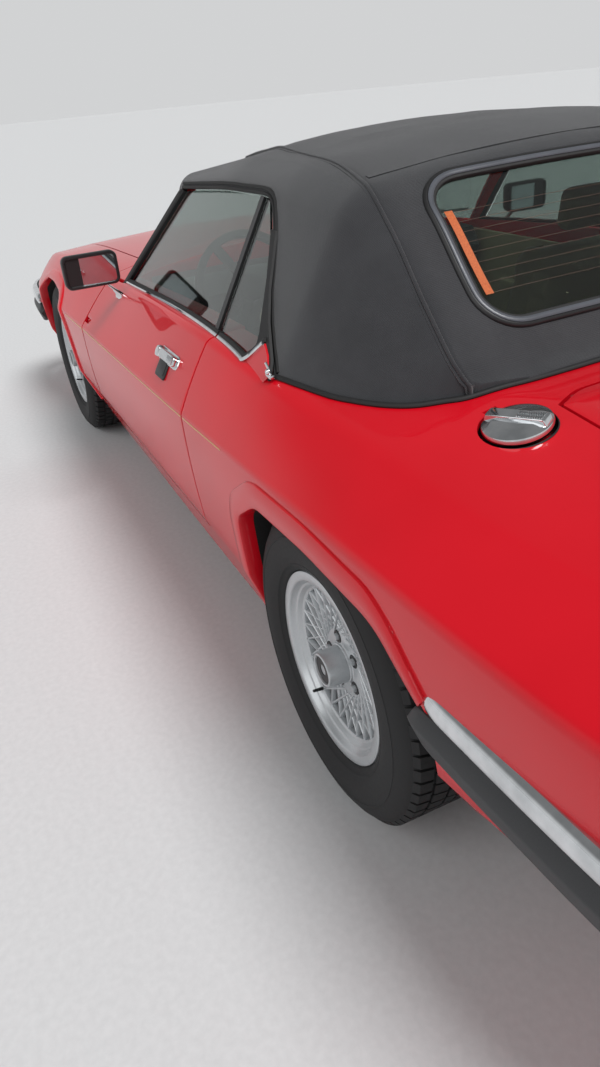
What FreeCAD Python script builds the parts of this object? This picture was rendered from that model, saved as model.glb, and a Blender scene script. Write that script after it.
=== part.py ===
import FreeCAD
import Part
import math
import os
from FreeCAD import Vector

# Two-door open car with its fabric top raised.
# Millimetres, +X to the front, +Y to the car's left, +Z up, origin on the ground at mid length.

# Length stations
WHEELBASE = 2591.0
FRONT_AXLE_X = 1424.5
REAR_AXLE_X = FRONT_AXLE_X - WHEELBASE
BODY_NOSE_X = 2290.0
BODY_TAIL_X = -2300.0
BUMPER_REACH = 2434.0

# Wheels
FRONT_TRACK = 1488.0
REAR_TRACK = 1504.0
TYRE_RADIUS = 331.5
TYRE_WIDTH = 226.0
RIM_LIP_RADIUS = 207.0
RIM_SEAT_RADIUS = 190.0
RIM_WIDTH = 190.0
HUB_RADIUS = 72.0
HUB_CAP_RADIUS = 38.0
HUB_CAP_REACH = 110.0
SPOKE_PAIRS = 14
SPOKE_WIDTH = 7.0
SPOKE_BACK_Y = 10.0
SPOKE_FRONT_Y = 26.0

# Clearances
SHUT_GAP = 6.0
DOOR_FRONT_GAP = 11.0
FACE_GAP = 0.4
PIN_GAP = 0.3

# Thicknesses
SHEET = 12.0
CANVAS_THICK = 20.0
GLASS_THICK = 5.0

# Cabin and doors
CABIN_HALF = 690.0
SIDE_WALL_Y = 700.0
DOOR_FRONT_X = 681.0
DOOR_REAR_X = -522.0
DOOR_INNER_FRONT_X = 505.0
DOOR_FRONT_Y = 750.0
DOOR_BOTTOM_Z = 372.0
POST_OUTER_Y = 733.0
JAMB_SLOPE = 22.0
DOOR_PIN = Vector(630.0, 868.0, 0.0)
DOOR_HINGE_HEIGHTS = (450.0, 660.0)
FIREWALL_X = 640.0
BULKHEAD_X = -812.0
FLOOR_Z = 250.0
TUNNEL_HALF = 150.0
TUNNEL_Z = 480.0
PANEL = 12.0
COWL_Z = 766.0

# Lids
BONNET_REAR_X = 730.0
BONNET_FRONT_X = 2140.0
BONNET_REAR_HALF = 600.0
BONNET_FRONT_HALF = 560.0
BOOT_FRONT_X = -1332.0
BOOT_CORNER_X = -1360.0
BOOT_FRONT_HALF = 461.0
BOOT_REAR_HALF = 520.0
BOOT_SILL_Z = 625.0
BOOT_FLOOR_Z = 452.0
RAIL_Y = (393.0, 439.7)
BONNET_PIN = Vector(2225.0, 0.0, 655.0)
BOOT_PIN = Vector(-1180.0, 0.0, 850.0)
LID_ARM_Y = 300.0
LID_PIN_RADIUS = 6.0

# Filler lid in the left rear wing: centre, tilt of the surface there
FILLER_CENTRE = Vector(-1359.0, 555.0, 862.0)
FILLER_TILT_DEG = 12.0
FILLER_RADIUS = 60.0
FILLER_DEPTH = 34.0
FILLER_PIN_X = 69.0

# Side glass plane: a point on it and its outward normal
GLASS_POINT = Vector(512.0, 735.0, 800.0)
GLASS_NORMAL = Vector(0.0507, 0.8974, 0.4374)

# Windscreen: corner and centre of its foot and of its head
SCREEN_FOOT_CORNER = Vector(520.0, 700.0, 798.0)
SCREEN_FOOT_CENTRE = Vector(628.0, 0.0, 852.0)
SCREEN_HEAD_CORNER = Vector(112.0, 560.0, 1132.0)
SCREEN_HEAD_CENTRE = Vector(165.0, 0.0, 1168.0)
SCREEN_FRAME_THICK = 18.0
SCREEN_BORDER = 32.0

# Rear window: middle of its head and of its foot, half widths there
BACKLIGHT_HEAD = Vector(-915.0, 0.0, 1198.0)
BACKLIGHT_FOOT = Vector(-1169.0, 0.0, 960.0)
BACKLIGHT_HEAD_HALF = 455.0
BACKLIGHT_FOOT_HALF = 460.0
BACKLIGHT_CORNER = 80.0

# Bumpers: heights of the rubber and of the bright blade over it, and where they start beside the wheels
REAR_BUMPER_Z = (480.0, 557.0)
REAR_BLADE_Z = (557.3, 606.0)
FRONT_BUMPER_Z = (425.0, 502.0)
FRONT_BLADE_Z = (502.3, 551.0)
REAR_BUMPER_X = -1546.0
REAR_BLADE_X = -1580.0
FRONT_BUMPER_X = 1812.0
FRONT_BLADE_X = 1840.0
BUMPER_WIDTH_Y = 893.0
BUMPER_THICK = 70.0
BLADE_THICK = 40.0
BLADE_INSET = 6.0

# Lamps
HEADLAMP_RADIUS = 44.0
HEADLAMP_Y = (395.0, 520.0)
HEADLAMP_Z = 599.0
TAIL_LAMP = (BOOT_REAR_HALF + 25.0, 735.0, 640.0, 780.0)

# Steering
KINGPIN_Y = FRONT_TRACK / 2.0 - 54.0
STEERING_CENTRE = Vector(250.0, 375.0, 770.0)
STEERING_LEAN_DEG = 65.0
STEERING_RADIUS = 192.0

# Body sections, left half
# x, sill y, sill z, tuck y, tuck z, waist y, waist z, shoulder y, shoulder z, shoulder radius, edge y, edge z, crown z
BODY_SECTIONS = [
    (2290.0, 560.0, 360.0, 615.0, 450.0, 640.0, 560.0, 600.0, 646.0, 30.0, 420.0, 662.0, 668.0),
    (2120.0, 700.0, 300.0, 772.0, 400.0, 800.0, 585.0, 725.0, 684.0, 45.0, 520.0, 702.0, 716.0),
    (1800.0, 780.0, 245.0, 852.0, 390.0, 874.0, 602.0, 765.0, 735.0, 60.0, 560.0, 750.0, 770.0),
    (1400.0, 800.0, 230.0, 876.0, 386.0, 893.0, 618.0, 775.0, 772.0, 60.0, 575.0, 786.0, 806.0),
    (1000.0, 806.0, 224.0, 876.0, 388.0, 893.0, 632.0, 766.0, 788.0, 48.0, 590.0, 812.0, 836.0),
    (700.0, 808.0, 220.0, 876.0, 390.0, 893.0, 644.0, 757.0, 797.0, 36.0, 600.0, 830.0, 860.0),
    (-525.0, 812.0, 216.0, 875.0, 394.0, 895.0, 690.0, 797.0, 855.0, 34.0, 640.0, 864.0, 884.0),
    (-870.0, 812.0, 216.0, 878.0, 396.0, 895.0, 707.0, 790.0, 850.0, 60.0, 600.0, 868.0, 884.0),
    (-1166.5, 812.0, 222.0, 880.0, 402.0, 895.0, 722.0, 766.0, 830.0, 90.0, 520.0, 872.0, 884.0),
    (-1500.0, 800.0, 290.0, 872.0, 424.0, 891.0, 738.0, 738.0, 808.0, 100.0, 440.0, 866.0, 876.0),
    (-1800.0, 776.0, 345.0, 846.0, 442.0, 882.0, 752.0, 706.0, 802.0, 100.0, 430.0, 856.0, 866.0),
    (-2100.0, 735.0, 350.0, 808.0, 450.0, 846.0, 766.0, 670.0, 798.0, 90.0, 415.0, 844.0, 853.0),
    (-2300.0, 650.0, 360.0, 712.0, 466.0, 765.0, 762.0, 615.0, 790.0, 60.0, 390.0, 824.0, 834.0),
]
WAIST_RADIUS = 26.0
CROWN_HALF = 200.0

# Wheel arch openings in side view: x, z, corner radius
REAR_ARCH = [(-842.0, 150.0, 0.0), (-862.0, 560.0, 60.0), (-985.0, 638.0, 120.0), (-1220.0, 652.0, 900.0),
             (-1455.0, 641.0, 160.0), (-1590.0, 548.0, 40.0), (-1604.0, 150.0, 0.0)]
FRONT_ARCH = [(1796.0, 150.0, 0.0), (1790.0, 520.0, 150.0), (1640.0, 668.0, 200.0), (1424.0, 682.0, 900.0),
              (1208.0, 668.0, 200.0), (1058.0, 520.0, 150.0), (1046.0, 150.0, 0.0)]
REAR_FLARE_WIDTH = 58.0
FRONT_FLARE_WIDTH = 36.0
FLARE_PROUD = 8.0

# Soft top sections, left half: x, foot y, eave y, eave z, eave radius, crown z
TOP_SECTIONS = [
    (118.0, 740.0, 606.0, 1156.0, 60.0, 1198.0),
    (-120.0, 752.0, 604.0, 1184.0, 90.0, 1240.0),
    (-360.0, 764.0, 602.0, 1212.0, 100.0, 1262.0),
    (-620.0, 776.0, 600.0, 1212.0, 110.0, 1262.0),
    (-860.0, 802.0, 588.0, 1188.0, 130.0, 1234.0),
    (-960.0, 786.0, 565.0, 1130.0, 130.0, 1160.0),
    (-1080.0, 749.0, 558.0, 1018.0, 90.0, 1044.0),
    (-1150.0, 711.0, 563.0, 956.0, 60.0, 979.0),
    (-1200.0, 641.0, 568.0, 912.0, 20.0, 927.0),
    (-1226.0, 560.0, 552.0, 887.0, 8.0, 905.0),
    (-1249.0, 450.0, 446.0, 884.0, 5.0, 893.0),
]
TOP_FOOT_Z = 800.0
TOP_INNER_SECTIONS = [TOP_SECTIONS[i] for i in (0, 3, 4, 7, 10)]

# Side windows in side view (x, z)
DOOR_GLASS = [(498.0, 782.0), (86.0, 1112.0), (70.0, 1118.0), (-282.0, 1144.0), (-521.0, 1150.0),
              (-474.0, 810.0), (490.0, 750.0)]
DIVISION_BAR = [(-527.0, 1152.0), (-549.0, 1151.0), (-504.0, 845.0), (-480.0, 845.0)]
QUARTER_GLASS = [(-552.0, 1150.0), (-577.0, 1146.0), (-640.0, 1085.0), (-690.0, 1010.0), (-745.0, 905.0),
                 (-752.0, 860.0), (-508.0, 845.0)]
SIDE_OPENING = [(520.0, 700.0), (520.0, 790.0), (104.0, 1122.0), (78.0, 1126.0), (-282.0, 1152.0),
                (-560.0, 1158.0), (-592.0, 1150.0), (-650.0, 1090.0), (-698.0, 1013.0), (-753.0, 907.0),
                (-765.0, 800.0), (-765.0, 700.0)]

# Centre lines of the lids' hinge arms in side view (x, z), from the pin to the lid
BONNET_ARM = [(BONNET_PIN.x, BONNET_PIN.z), (2150.0, 582.0), (2078.0, 600.0), (2056.0, 712.0)]
BOOT_ARM = [(BOOT_PIN.x, BOOT_PIN.z), (-1228.0, 705.0), (-1340.0, 690.0), (-1395.0, 866.0)]


# Small helpers
def box(x0, x1, y0, y1, z0, z1):
    return Part.makeBox(x1 - x0, y1 - y0, z1 - z0, Vector(x0, y0, z0))


def mirrored(shape):
    return shape.mirror(Vector(0, 0, 0), Vector(0, 1, 0))


def both(shape):
    return Part.makeCompound([shape, mirrored(shape)])


def cylinder(radius, start, end):
    way = end - start
    return Part.makeCylinder(radius, way.Length, start, way)


def cross_pin(radius, place, y0, y1):
    """Round pin across the car at a place's x and z."""
    return cylinder(radius, Vector(place.x, y0, place.z), Vector(place.x, y1, place.z))


def fused(shapes):
    return shapes[0].fuse(shapes[1:]).removeSplitter()


def lowered(shape, drop, forward=0.0):
    copy = shape.copy()
    copy.translate(Vector(forward, 0, -drop))
    return copy


def export(name, shape):
    shape.exportStep("parts/" + name + ".step")


def rounded_wire(points, radii, place):
    """Closed wire through 2D points, a tangent arc at each corner with a radius; place turns (a, b) into a Vector."""
    count = len(points)
    corners = []
    for i in range(count):
        here = Vector(points[i][0], points[i][1], 0)
        if radii[i] == 0.0:
            corners.append((here, None, here))
            continue
        back = Vector(points[i - 1][0], points[i - 1][1], 0) - here
        ahead = Vector(points[(i + 1) % count][0], points[(i + 1) % count][1], 0) - here
        room = 0.46 * min(back.Length, ahead.Length)
        back.normalize()
        ahead.normalize()
        half = back.getAngle(ahead) / 2.0
        reach = min(radii[i] / math.tan(half), room)
        radius = reach * math.tan(half)
        middle = back + ahead
        middle.normalize()
        arc_mid = here + middle * (radius / math.sin(half) - radius)
        corners.append((here + back * reach, arc_mid, here + ahead * reach))
    edges = []
    for i in range(count):
        start, mid, end = corners[i]
        following = corners[(i + 1) % count][0]
        if mid is not None:
            edges.append(Part.Arc(place(start), place(mid), place(end)).toShape())
        edges.append(Part.LineSegment(place(end), place(following)).toShape())
    return Part.Wire(edges)


def offset_points(points, distance):
    """Moves each edge of a closed anticlockwise outline inwards by distance."""
    count = len(points)
    moved = []
    for i in range(count):
        a = Vector(points[i - 1][0], points[i - 1][1], 0)
        b = Vector(points[i][0], points[i][1], 0)
        c = Vector(points[(i + 1) % count][0], points[(i + 1) % count][1], 0)
        u = (b - a).normalize()
        w = (c - b).normalize()
        nu = Vector(-u.y, u.x, 0)
        nw = Vector(-w.y, w.x, 0)
        shift = (nu + nw) * (distance / (1.0 + nu.dot(nw)))
        moved.append((b.x + shift.x, b.y + shift.y))
    return moved


def half_to_full(half):
    """Left half of a section, from its foot upwards, made a closed outline, anticlockwise from the front."""
    right = [(-y, z) for y, z in half if y > 0.0]
    return half + right[::-1]


def prism_y(points, radii, y0, y1):
    """Side-view outline (x, z) with rounded corners extruded across the car."""
    wire = rounded_wire(points, radii, lambda p: Vector(p.x, y0, p.y))
    return Part.Face(wire).extrude(Vector(0, y1 - y0, 0))


def side_outline(points, y0, y1):
    return prism_y(points, [0.0] * len(points), y0, y1)


def prism_z(points, z0, z1):
    """Plan-view outline (x, y) with sharp corners extruded upwards."""
    corners = [Vector(x, y, z0) for x, y in points]
    return Part.Face(Part.makePolygon(corners + [corners[0]])).extrude(Vector(0, 0, z1 - z0))


def strap(centre_line, half, y0, y1):
    """Bent flat bar in side view, of one width along its centre line, extruded across."""
    upper = []
    lower = []
    last = len(centre_line) - 1
    for i, (x, z) in enumerate(centre_line):
        before = centre_line[max(i - 1, 0)]
        after = centre_line[min(i + 1, last)]
        u = Vector(x - before[0], z - before[1], 0) if i else Vector(after[0] - x, after[1] - z, 0)
        w = Vector(after[0] - x, after[1] - z, 0) if i < last else u
        u.normalize()
        w.normalize()
        side = Vector(-u.y - w.y, u.x + w.x, 0)
        side = side * (half / (1.0 + u.dot(w)))
        upper.append((x + side.x, z + side.y))
        lower.append((x - side.x, z - side.y))
    return side_outline(upper + lower[::-1], y0, y1)


# Surfaces
def body_loft(grow):
    """The whole painted body as one solid, grown outwards by grow."""
    wires = []
    for row in BODY_SECTIONS:
        x, sill_y, sill_z, tuck_y, tuck_z, waist_y, waist_z = row[:7]
        shoulder_y, shoulder_z, shoulder_r, edge_y, edge_z, crown_z = row[7:]
        half = [(sill_y, sill_z), (tuck_y, tuck_z), (waist_y, waist_z), (shoulder_y, shoulder_z),
                (edge_y, edge_z), (CROWN_HALF, crown_z)]
        points = offset_points(half_to_full(half), -grow)
        radii = [0.0, 0.0, WAIST_RADIUS, shoulder_r, 0.0, 0.0]
        radii += radii[::-1]
        wires.append(rounded_wire(points, radii, lambda p: Vector(x, p.x, p.y)))
    return Part.makeLoft(wires, True, True)


def top_loft(inset, front_grow, rear_inset, sections):
    """The closed fabric top down to below the body's surface; an inset copy is its hollow."""
    wires = []
    last = len(sections) - 1
    for i, (x, foot_y, eave_y, eave_z, eave_r, crown_z) in enumerate(sections):
        if i == 0:
            x += front_grow
        if i == last:
            x += rear_inset
        lean = (foot_y - eave_y) / (eave_z - TOP_FOOT_Z)
        half = [(foot_y + lean * inset * 2.0, TOP_FOOT_Z - inset * 2.0), (eave_y, eave_z)]
        if inset < CANVAS_THICK:
            half.append((eave_y / 2.0, crown_z - (crown_z - eave_z) / 4.0))
        half.append((0.0, crown_z))
        points = offset_points(half_to_full(half), inset)
        radii = [0.0] * len(points)
        if inset < CANVAS_THICK:
            radii[1] = radii[-2] = eave_r
        wires.append(rounded_wire(points, radii, lambda p: Vector(x, p.x, p.y)))
    return Part.makeLoft(wires, True, True)


def glass_y(x, z):
    """Left side glass plane's outer y at a side-view point."""
    n = GLASS_NORMAL
    return (n.dot(GLASS_POINT) - n.x * x - n.z * z) / n.y


def glass_plate(outline, thick, proud=0.0):
    """Flat plate along the left side glass, cut to a side-view outline (x, z)."""
    points = [Vector(x, glass_y(x, z), z) + GLASS_NORMAL * proud for x, z in outline]
    face = Part.Face(Part.makePolygon(points + [points[0]]))
    return face.extrude(GLASS_NORMAL * (-thick))


def screen_band(border, lift, thick):
    """Curved strip of the windscreen surface, grown by border, its top face lift above the glass face."""
    slope = SCREEN_FOOT_CENTRE - SCREEN_HEAD_CENTRE
    slope.normalize()
    normal = Vector(-slope.z, 0, slope.x)
    arcs = []
    for corner, centre, way in ((SCREEN_FOOT_CORNER, SCREEN_FOOT_CENTRE, 1.0),
                                (SCREEN_HEAD_CORNER, SCREEN_HEAD_CENTRE, -1.0)):
        shift = slope * (way * border) + normal * lift
        left = corner + shift + Vector(0, border, 0)
        arcs.append(Part.Arc(left, centre + shift, Vector(left.x, -left.y, left.z)).toShape())
    return Part.makeRuledSurface(arcs[0], arcs[1]).extrude(normal * (-thick))


def backlight_prism(grow, reach):
    """Rear window outline, square to the slope of the canvas there."""
    down = BACKLIGHT_FOOT - BACKLIGHT_HEAD
    height = down.Length
    down.normalize()
    normal = Vector(down.z, 0, -down.x)
    base = BACKLIGHT_HEAD - normal * reach
    points = [(-BACKLIGHT_HEAD_HALF - grow, -grow), (BACKLIGHT_HEAD_HALF + grow, -grow),
              (BACKLIGHT_FOOT_HALF + grow, height + grow), (-BACKLIGHT_FOOT_HALF - grow, height + grow)]
    wire = rounded_wire(points, [BACKLIGHT_CORNER] * 4, lambda p: base + Vector(0, p.x, 0) + down * p.y)
    return Part.Face(wire).extrude(normal * (2.0 * reach))


def arch_prism(arch, grow, y0, y1):
    """Wheel arch outline grown outwards and extruded across one side."""
    grown = offset_points([(x, z) for x, z, r in arch], -grow)
    return prism_y(grown, [r + grow if r else 0.0 for x, z, r in arch], y0, y1)


# Cutting outlines shared by the panels and what meets them
def door_cell(gap, front_gap):
    """Plan outline of the left door, grown by the gaps where it meets the body."""
    front = DOOR_FRONT_X + front_gap
    rear = DOOR_REAR_X - gap
    inner = CABIN_HALF - (20.0 if gap else 0.0)
    slope = JAMB_SLOPE / (900.0 - CABIN_HALF)
    plan = [(front, 980.0), (front, DOOR_FRONT_Y - gap), (DOOR_INNER_FRONT_X + gap, DOOR_FRONT_Y - gap),
            (DOOR_INNER_FRONT_X + gap, inner), (rear + slope * (900.0 - inner), inner),
            (rear, 900.0), (rear, 980.0)]
    return prism_z(plan, DOOR_BOTTOM_Z - gap, 1000.0)


def bonnet_cell(gap):
    rear = BONNET_REAR_X - gap
    front = BONNET_FRONT_X + gap
    plan = [(rear, BONNET_REAR_HALF + gap), (rear, -BONNET_REAR_HALF - gap),
            (front, -BONNET_FRONT_HALF - gap), (front, BONNET_FRONT_HALF + gap)]
    return prism_z(plan, 600.0, 1000.0)


def boot_cell(gap):
    front = BOOT_FRONT_X + gap
    rear = BODY_TAIL_X - 40.0
    half = BOOT_FRONT_HALF + gap
    wide = BOOT_REAR_HALF + gap
    corner = BOOT_CORNER_X + gap
    plan = [(front, -half + 60.0), (front, half - 60.0), (corner, half), (rear, wide), (rear, -wide), (corner, -half)]
    return prism_z(plan, BOOT_SILL_Z - gap, 1000.0)


def filler_place(shape):
    """Turns a shape made upright about the origin to the slope of the wing and moves it to the filler."""
    placed = shape.copy()
    placed.rotate(Vector(0, 0, 0), Vector(1, 0, 0), -FILLER_TILT_DEG)
    placed.translate(FILLER_CENTRE)
    return placed


# Painted panels
def rear_wings(outer, proud):
    """Rear wings with the quarter panels and the sills; the filler opening is in the left one."""
    inner_tail_x = BODY_TAIL_X + 62.0
    cells = [box(inner_tail_x, BULKHEAD_X - 30.0, BOOT_REAR_HALF, 980.0, 150.0, 800.0),
             box(inner_tail_x, -1180.0, 380.0, 980.0, 799.0, 1000.0),
             box(-1181.0, -1080.0, 600.0, 980.0, 799.0, 1000.0),
             box(-1180.5, DOOR_REAR_X + 40.0, SIDE_WALL_Y, 980.0, 150.0, 1000.0),
             box(-815.0, 1036.0, SIDE_WALL_Y, 980.0, 150.0, DOOR_BOTTOM_Z - SHUT_GAP)]
    rings = arch_prism(REAR_ARCH, REAR_FLARE_WIDTH, 700.0, 980.0)
    bands = box(-1560.0, -700.0, 600.0, 980.0, 216.0, 760.0).fuse(box(-1700.0, -1559.0, 600.0, 980.0, 612.0, 760.0))
    flare = proud.common(rings).common(bands).cut(outer)
    wing = outer.common(cells[0].fuse(cells[1:])).fuse(flare)
    wing = wing.cut([arch_prism(REAR_ARCH, 0.0, 300.0, 980.0), arch_prism(REAR_ARCH, 40.0, 560.0, 862.0),
                     door_cell(SHUT_GAP, DOOR_FRONT_GAP), boot_cell(SHUT_GAP)]).removeSplitter()
    mouth = Part.makeCylinder(FILLER_RADIUS + SHUT_GAP, 80.0, Vector(0, 0, -FILLER_DEPTH))
    notch = box(40.0, FILLER_PIN_X + 8.0, -14.0, 14.0, -16.0, 80.0)
    pin = cylinder(2.5, Vector(FILLER_PIN_X, -16.0, -2.0), Vector(FILLER_PIN_X, 16.0, -2.0))
    left = wing.cut(filler_place(mouth.fuse(notch))).fuse(filler_place(pin))
    return left, mirrored(wing)


def front_wings(outer, proud):
    """Front wings with their wheel houses."""
    front_x = DOOR_FRONT_X + DOOR_FRONT_GAP
    cells = [box(front_x, 1840.0, 440.0, 980.0, 150.0, 724.0), box(front_x, 2110.0, 440.0, 980.0, 150.0, 660.0),
             box(front_x, 2110.0, 540.0, 980.0, 640.0, 1000.0)]
    wing = outer.common(cells[0].fuse(cells[1:]))
    wing = wing.cut(box(0.0, BONNET_REAR_X, 0.0, DOOR_FRONT_Y, 600.0, 1000.0))
    wing = wing.cut(box(0.0, 1036.0, 0.0, 980.0, 100.0, DOOR_BOTTOM_Z - SHUT_GAP))
    flare = proud.common(arch_prism(FRONT_ARCH, FRONT_FLARE_WIDTH, 700.0, 980.0)).cut(outer)
    flare = flare.common(box(1036.5, 1836.0, 600.0, 980.0, 245.0, 760.0))
    wing = wing.fuse(flare)
    wing = wing.cut([arch_prism(FRONT_ARCH, 0.0, 300.0, 980.0), arch_prism(FRONT_ARCH, 30.0, 452.0, 862.0),
                     bonnet_cell(SHUT_GAP), door_cell(SHUT_GAP, DOOR_FRONT_GAP)])
    wing = wing.removeSplitter()
    return wing, mirrored(wing)


def left_door_post():
    """Hinge post behind the front wing, with the door's two hinge leaves and their pins."""
    front = DOOR_FRONT_X + DOOR_FRONT_GAP - PIN_GAP
    parts = [box(DOOR_INNER_FRONT_X + SHUT_GAP, front, SIDE_WALL_Y + 1.0, POST_OUTER_Y,
                 DOOR_BOTTOM_Z - SHUT_GAP + PIN_GAP, COWL_Z - PIN_GAP)]
    for z in DOOR_HINGE_HEIGHTS:
        parts.append(box(DOOR_PIN.x - 8.0, DOOR_PIN.x + 8.0, POST_OUTER_Y - 2.0, DOOR_PIN.y, z - 8.0, z + 8.0))
        parts.append(Part.makeCylinder(8.0, 16.0, DOOR_PIN + Vector(0, 0, z - 8.0)))
        parts.append(Part.makeCylinder(4.0, 40.0, DOOR_PIN + Vector(0, 0, z - 20.0)))
    return fused(parts)


def scuttle_panel(outer):
    """Cowl between the bonnet and the windscreen's foot."""
    half = POST_OUTER_Y
    plan = [(BONNET_REAR_X - SHUT_GAP, half), (DOOR_INNER_FRONT_X, half), (DOOR_INNER_FRONT_X, 650.0),
            (568.0, 480.0), (600.0, 240.0)]
    full = plan + [(x, -y) for x, y in plan[::-1]]
    return outer.common(prism_z(full, COWL_Z, 1000.0))


def rear_deck(outer):
    """Deck sheet between the top and the boot lid, with the brackets of the lid's hinge pins."""
    deck = outer.common(box(-1400.0, -1160.0, -379.7, 379.7, 790.0, 1000.0))
    deck = deck.cut([boot_cell(SHUT_GAP), lowered(outer, SHEET)])
    brackets = []
    for side in (-1.0, 1.0):
        y = side * LID_ARM_Y
        for y0 in (y - 14.0, y + 7.0 + PIN_GAP):
            brackets.append(box(BOOT_PIN.x - 14.0, BOOT_PIN.x + 14.0, y0, y0 + 6.7, BOOT_PIN.z - 14.0, 874.0))
        brackets.append(cross_pin(LID_PIN_RADIUS, BOOT_PIN, y - 14.0, y + 14.0))
    return fused([deck] + brackets)


def hinge_arms(line, pin):
    """Goose-neck arms of a lid, each with an eye for its pin."""
    arms = []
    for side in (-1.0, 1.0):
        y = side * LID_ARM_Y
        arm = strap(line, 7.0, y - 7.0, y + 7.0).fuse(cross_pin(LID_PIN_RADIUS + 6.0, pin, y - 7.0, y + 7.0))
        arms.append(arm.cut(cross_pin(LID_PIN_RADIUS + PIN_GAP, pin, y - 20.0, y + 20.0)))
    return arms


def bonnet(outer):
    sheet = outer.common(bonnet_cell(0.0)).cut(lowered(outer, SHEET * 0.7))
    return fused([sheet] + [arm.common(outer) for arm in hinge_arms(BONNET_ARM, BONNET_PIN)])


def boot_lid(outer):
    lid = outer.common(boot_cell(0.0)).cut(lowered(outer, SHEET, 16.0))
    return fused([lid] + [arm.common(outer) for arm in hinge_arms(BOOT_ARM, BOOT_PIN)])


def nose_panel(outer):
    """Front end with its grille and lamp openings and the brackets of the bonnet's hinge pins."""
    nose = outer.common(box(2110.3, BODY_NOSE_X + 10.0, -980.0, 980.0, 150.0, 1000.0))
    hollow = box(2100.0, BODY_NOSE_X - 32.0, -540.0, 540.0, 150.0, 1000.0).common(lowered(outer, SHEET))
    holes = [hollow, box(2200.0, 2400.0, -330.0, 330.0, 560.0, 639.0), bonnet_cell(SHUT_GAP)]
    for y in HEADLAMP_Y:
        for side in (-1.0, 1.0):
            holes.append(cylinder(HEADLAMP_RADIUS, Vector(2180.0, side * y, HEADLAMP_Z),
                                  Vector(2400.0, side * y, HEADLAMP_Z)))
    nose = nose.cut(holes)
    brackets = []
    for side in (-1.0, 1.0):
        y = side * LID_ARM_Y
        for y0 in (y - 14.0, y + 7.0 + PIN_GAP):
            brackets.append(box(BONNET_PIN.x - 12.0, BODY_NOSE_X - 20.0, y0, y0 + 6.7,
                                BONNET_PIN.z - 12.0, BONNET_PIN.z + 10.0))
        brackets.append(cross_pin(LID_PIN_RADIUS, BONNET_PIN, y - 14.0, y + 14.0))
    return fused([nose] + [piece.common(outer) for piece in brackets])


def tail_panel(outer):
    tail = outer.common(box(BODY_TAIL_X - 10.0, BODY_TAIL_X + 61.7, -980.0, 980.0, 150.0, 1000.0))
    y0, y1, z0, z1 = TAIL_LAMP
    lamp = box(BODY_TAIL_X - 20.0, BODY_TAIL_X + 40.0, y0, y1, z0, z1)
    hollow = box(BODY_TAIL_X + 30.0, BODY_TAIL_X + 70.0, -BOOT_REAR_HALF, BOOT_REAR_HALF, 150.0, 780.0)
    panel = tail.cut([hollow, boot_cell(SHUT_GAP), lamp, mirrored(lamp)])
    return panel, both(outer.common(lamp))


def headlamps():
    lamps = []
    for y in HEADLAMP_Y:
        lamp = cylinder(HEADLAMP_RADIUS - PIN_GAP, Vector(BODY_NOSE_X - 75.0, y, HEADLAMP_Z),
                        Vector(BODY_NOSE_X - 6.0, y, HEADLAMP_Z))
        lamps += [lamp, mirrored(lamp)]
    return Part.makeCompound(lamps)


def grille():
    x = BODY_NOSE_X
    bars = [box(x - 28.0, x - 6.0, -329.7, 329.7, z, z + 8.0) for z in (564.0, 578.0, 592.0, 606.0, 620.0)]
    posts = [box(x - 40.0, x - 20.0, y - 6.0, y + 6.0, 560.3, 638.7) for y in (-323.7, -110.0, 110.0, 323.7)]
    return fused(bars + posts)


# Doors
def left_door(outer, glass):
    door = outer.common(door_cell(0.0, 0.0)).cut(glass)
    pockets = []
    for z in DOOR_HINGE_HEIGHTS:
        pockets.append(box(DOOR_PIN.x - 11.0, DOOR_FRONT_X + 10.0, DOOR_FRONT_Y - 10.0, DOOR_PIN.y + 9.0,
                           z - 8.5, z + 8.5))
        pockets.append(Part.makeCylinder(4.0 + PIN_GAP, 42.0, DOOR_PIN + Vector(0, 0, z - 21.0)))
    return door.cut(pockets)


def left_handle(outer):
    """Lift handle on the door's upper slope, with its flap below."""
    handle = fused([box(-72.0, 72.0, -14.0, 14.0, 0.0, 22.0), box(-36.0, 36.0, -52.0, -10.0, 0.0, 8.0)])
    handle.rotate(Vector(0, 0, 0), Vector(1, 0, 0), -56.0)
    handle.translate(Vector(-325.0, 826.0, 772.0))
    return handle.cut(outer)


def left_mirror(outer):
    head = box(372.0, 440.0, 782.0, 962.0, 838.0, 944.0)
    foot = cylinder(16.0, Vector(425.0, 770.0, 780.0), Vector(410.0, 840.0, 860.0))
    return fused([head, foot]).cut(outer)


# Fabric top with its rear window
def soft_top(outer):
    opening = side_outline(SIDE_OPENING, 300.0, 980.0)
    top = top_loft(0.0, 0.0, 0.0, TOP_SECTIONS).cut(top_loft(CANVAS_THICK, 80.0, CANVAS_THICK, TOP_INNER_SECTIONS))
    top = top.cut(outer).cut([opening, mirrored(opening)])
    top = top.cut(backlight_prism(0.0, 90.0)).cut(screen_band(SCREEN_BORDER + PIN_GAP, 60.0, 160.0))
    return max(top.Solids, key=lambda q: q.Volume)


def rear_window():
    rear = TOP_SECTIONS[4:]
    pane = top_loft(7.0, 0.0, 0.0, rear).common(backlight_prism(0.0, 60.0)).cut(top_loft(13.0, 10.0, 40.0, rear))
    return max(pane.Solids, key=lambda q: q.Volume)


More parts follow.
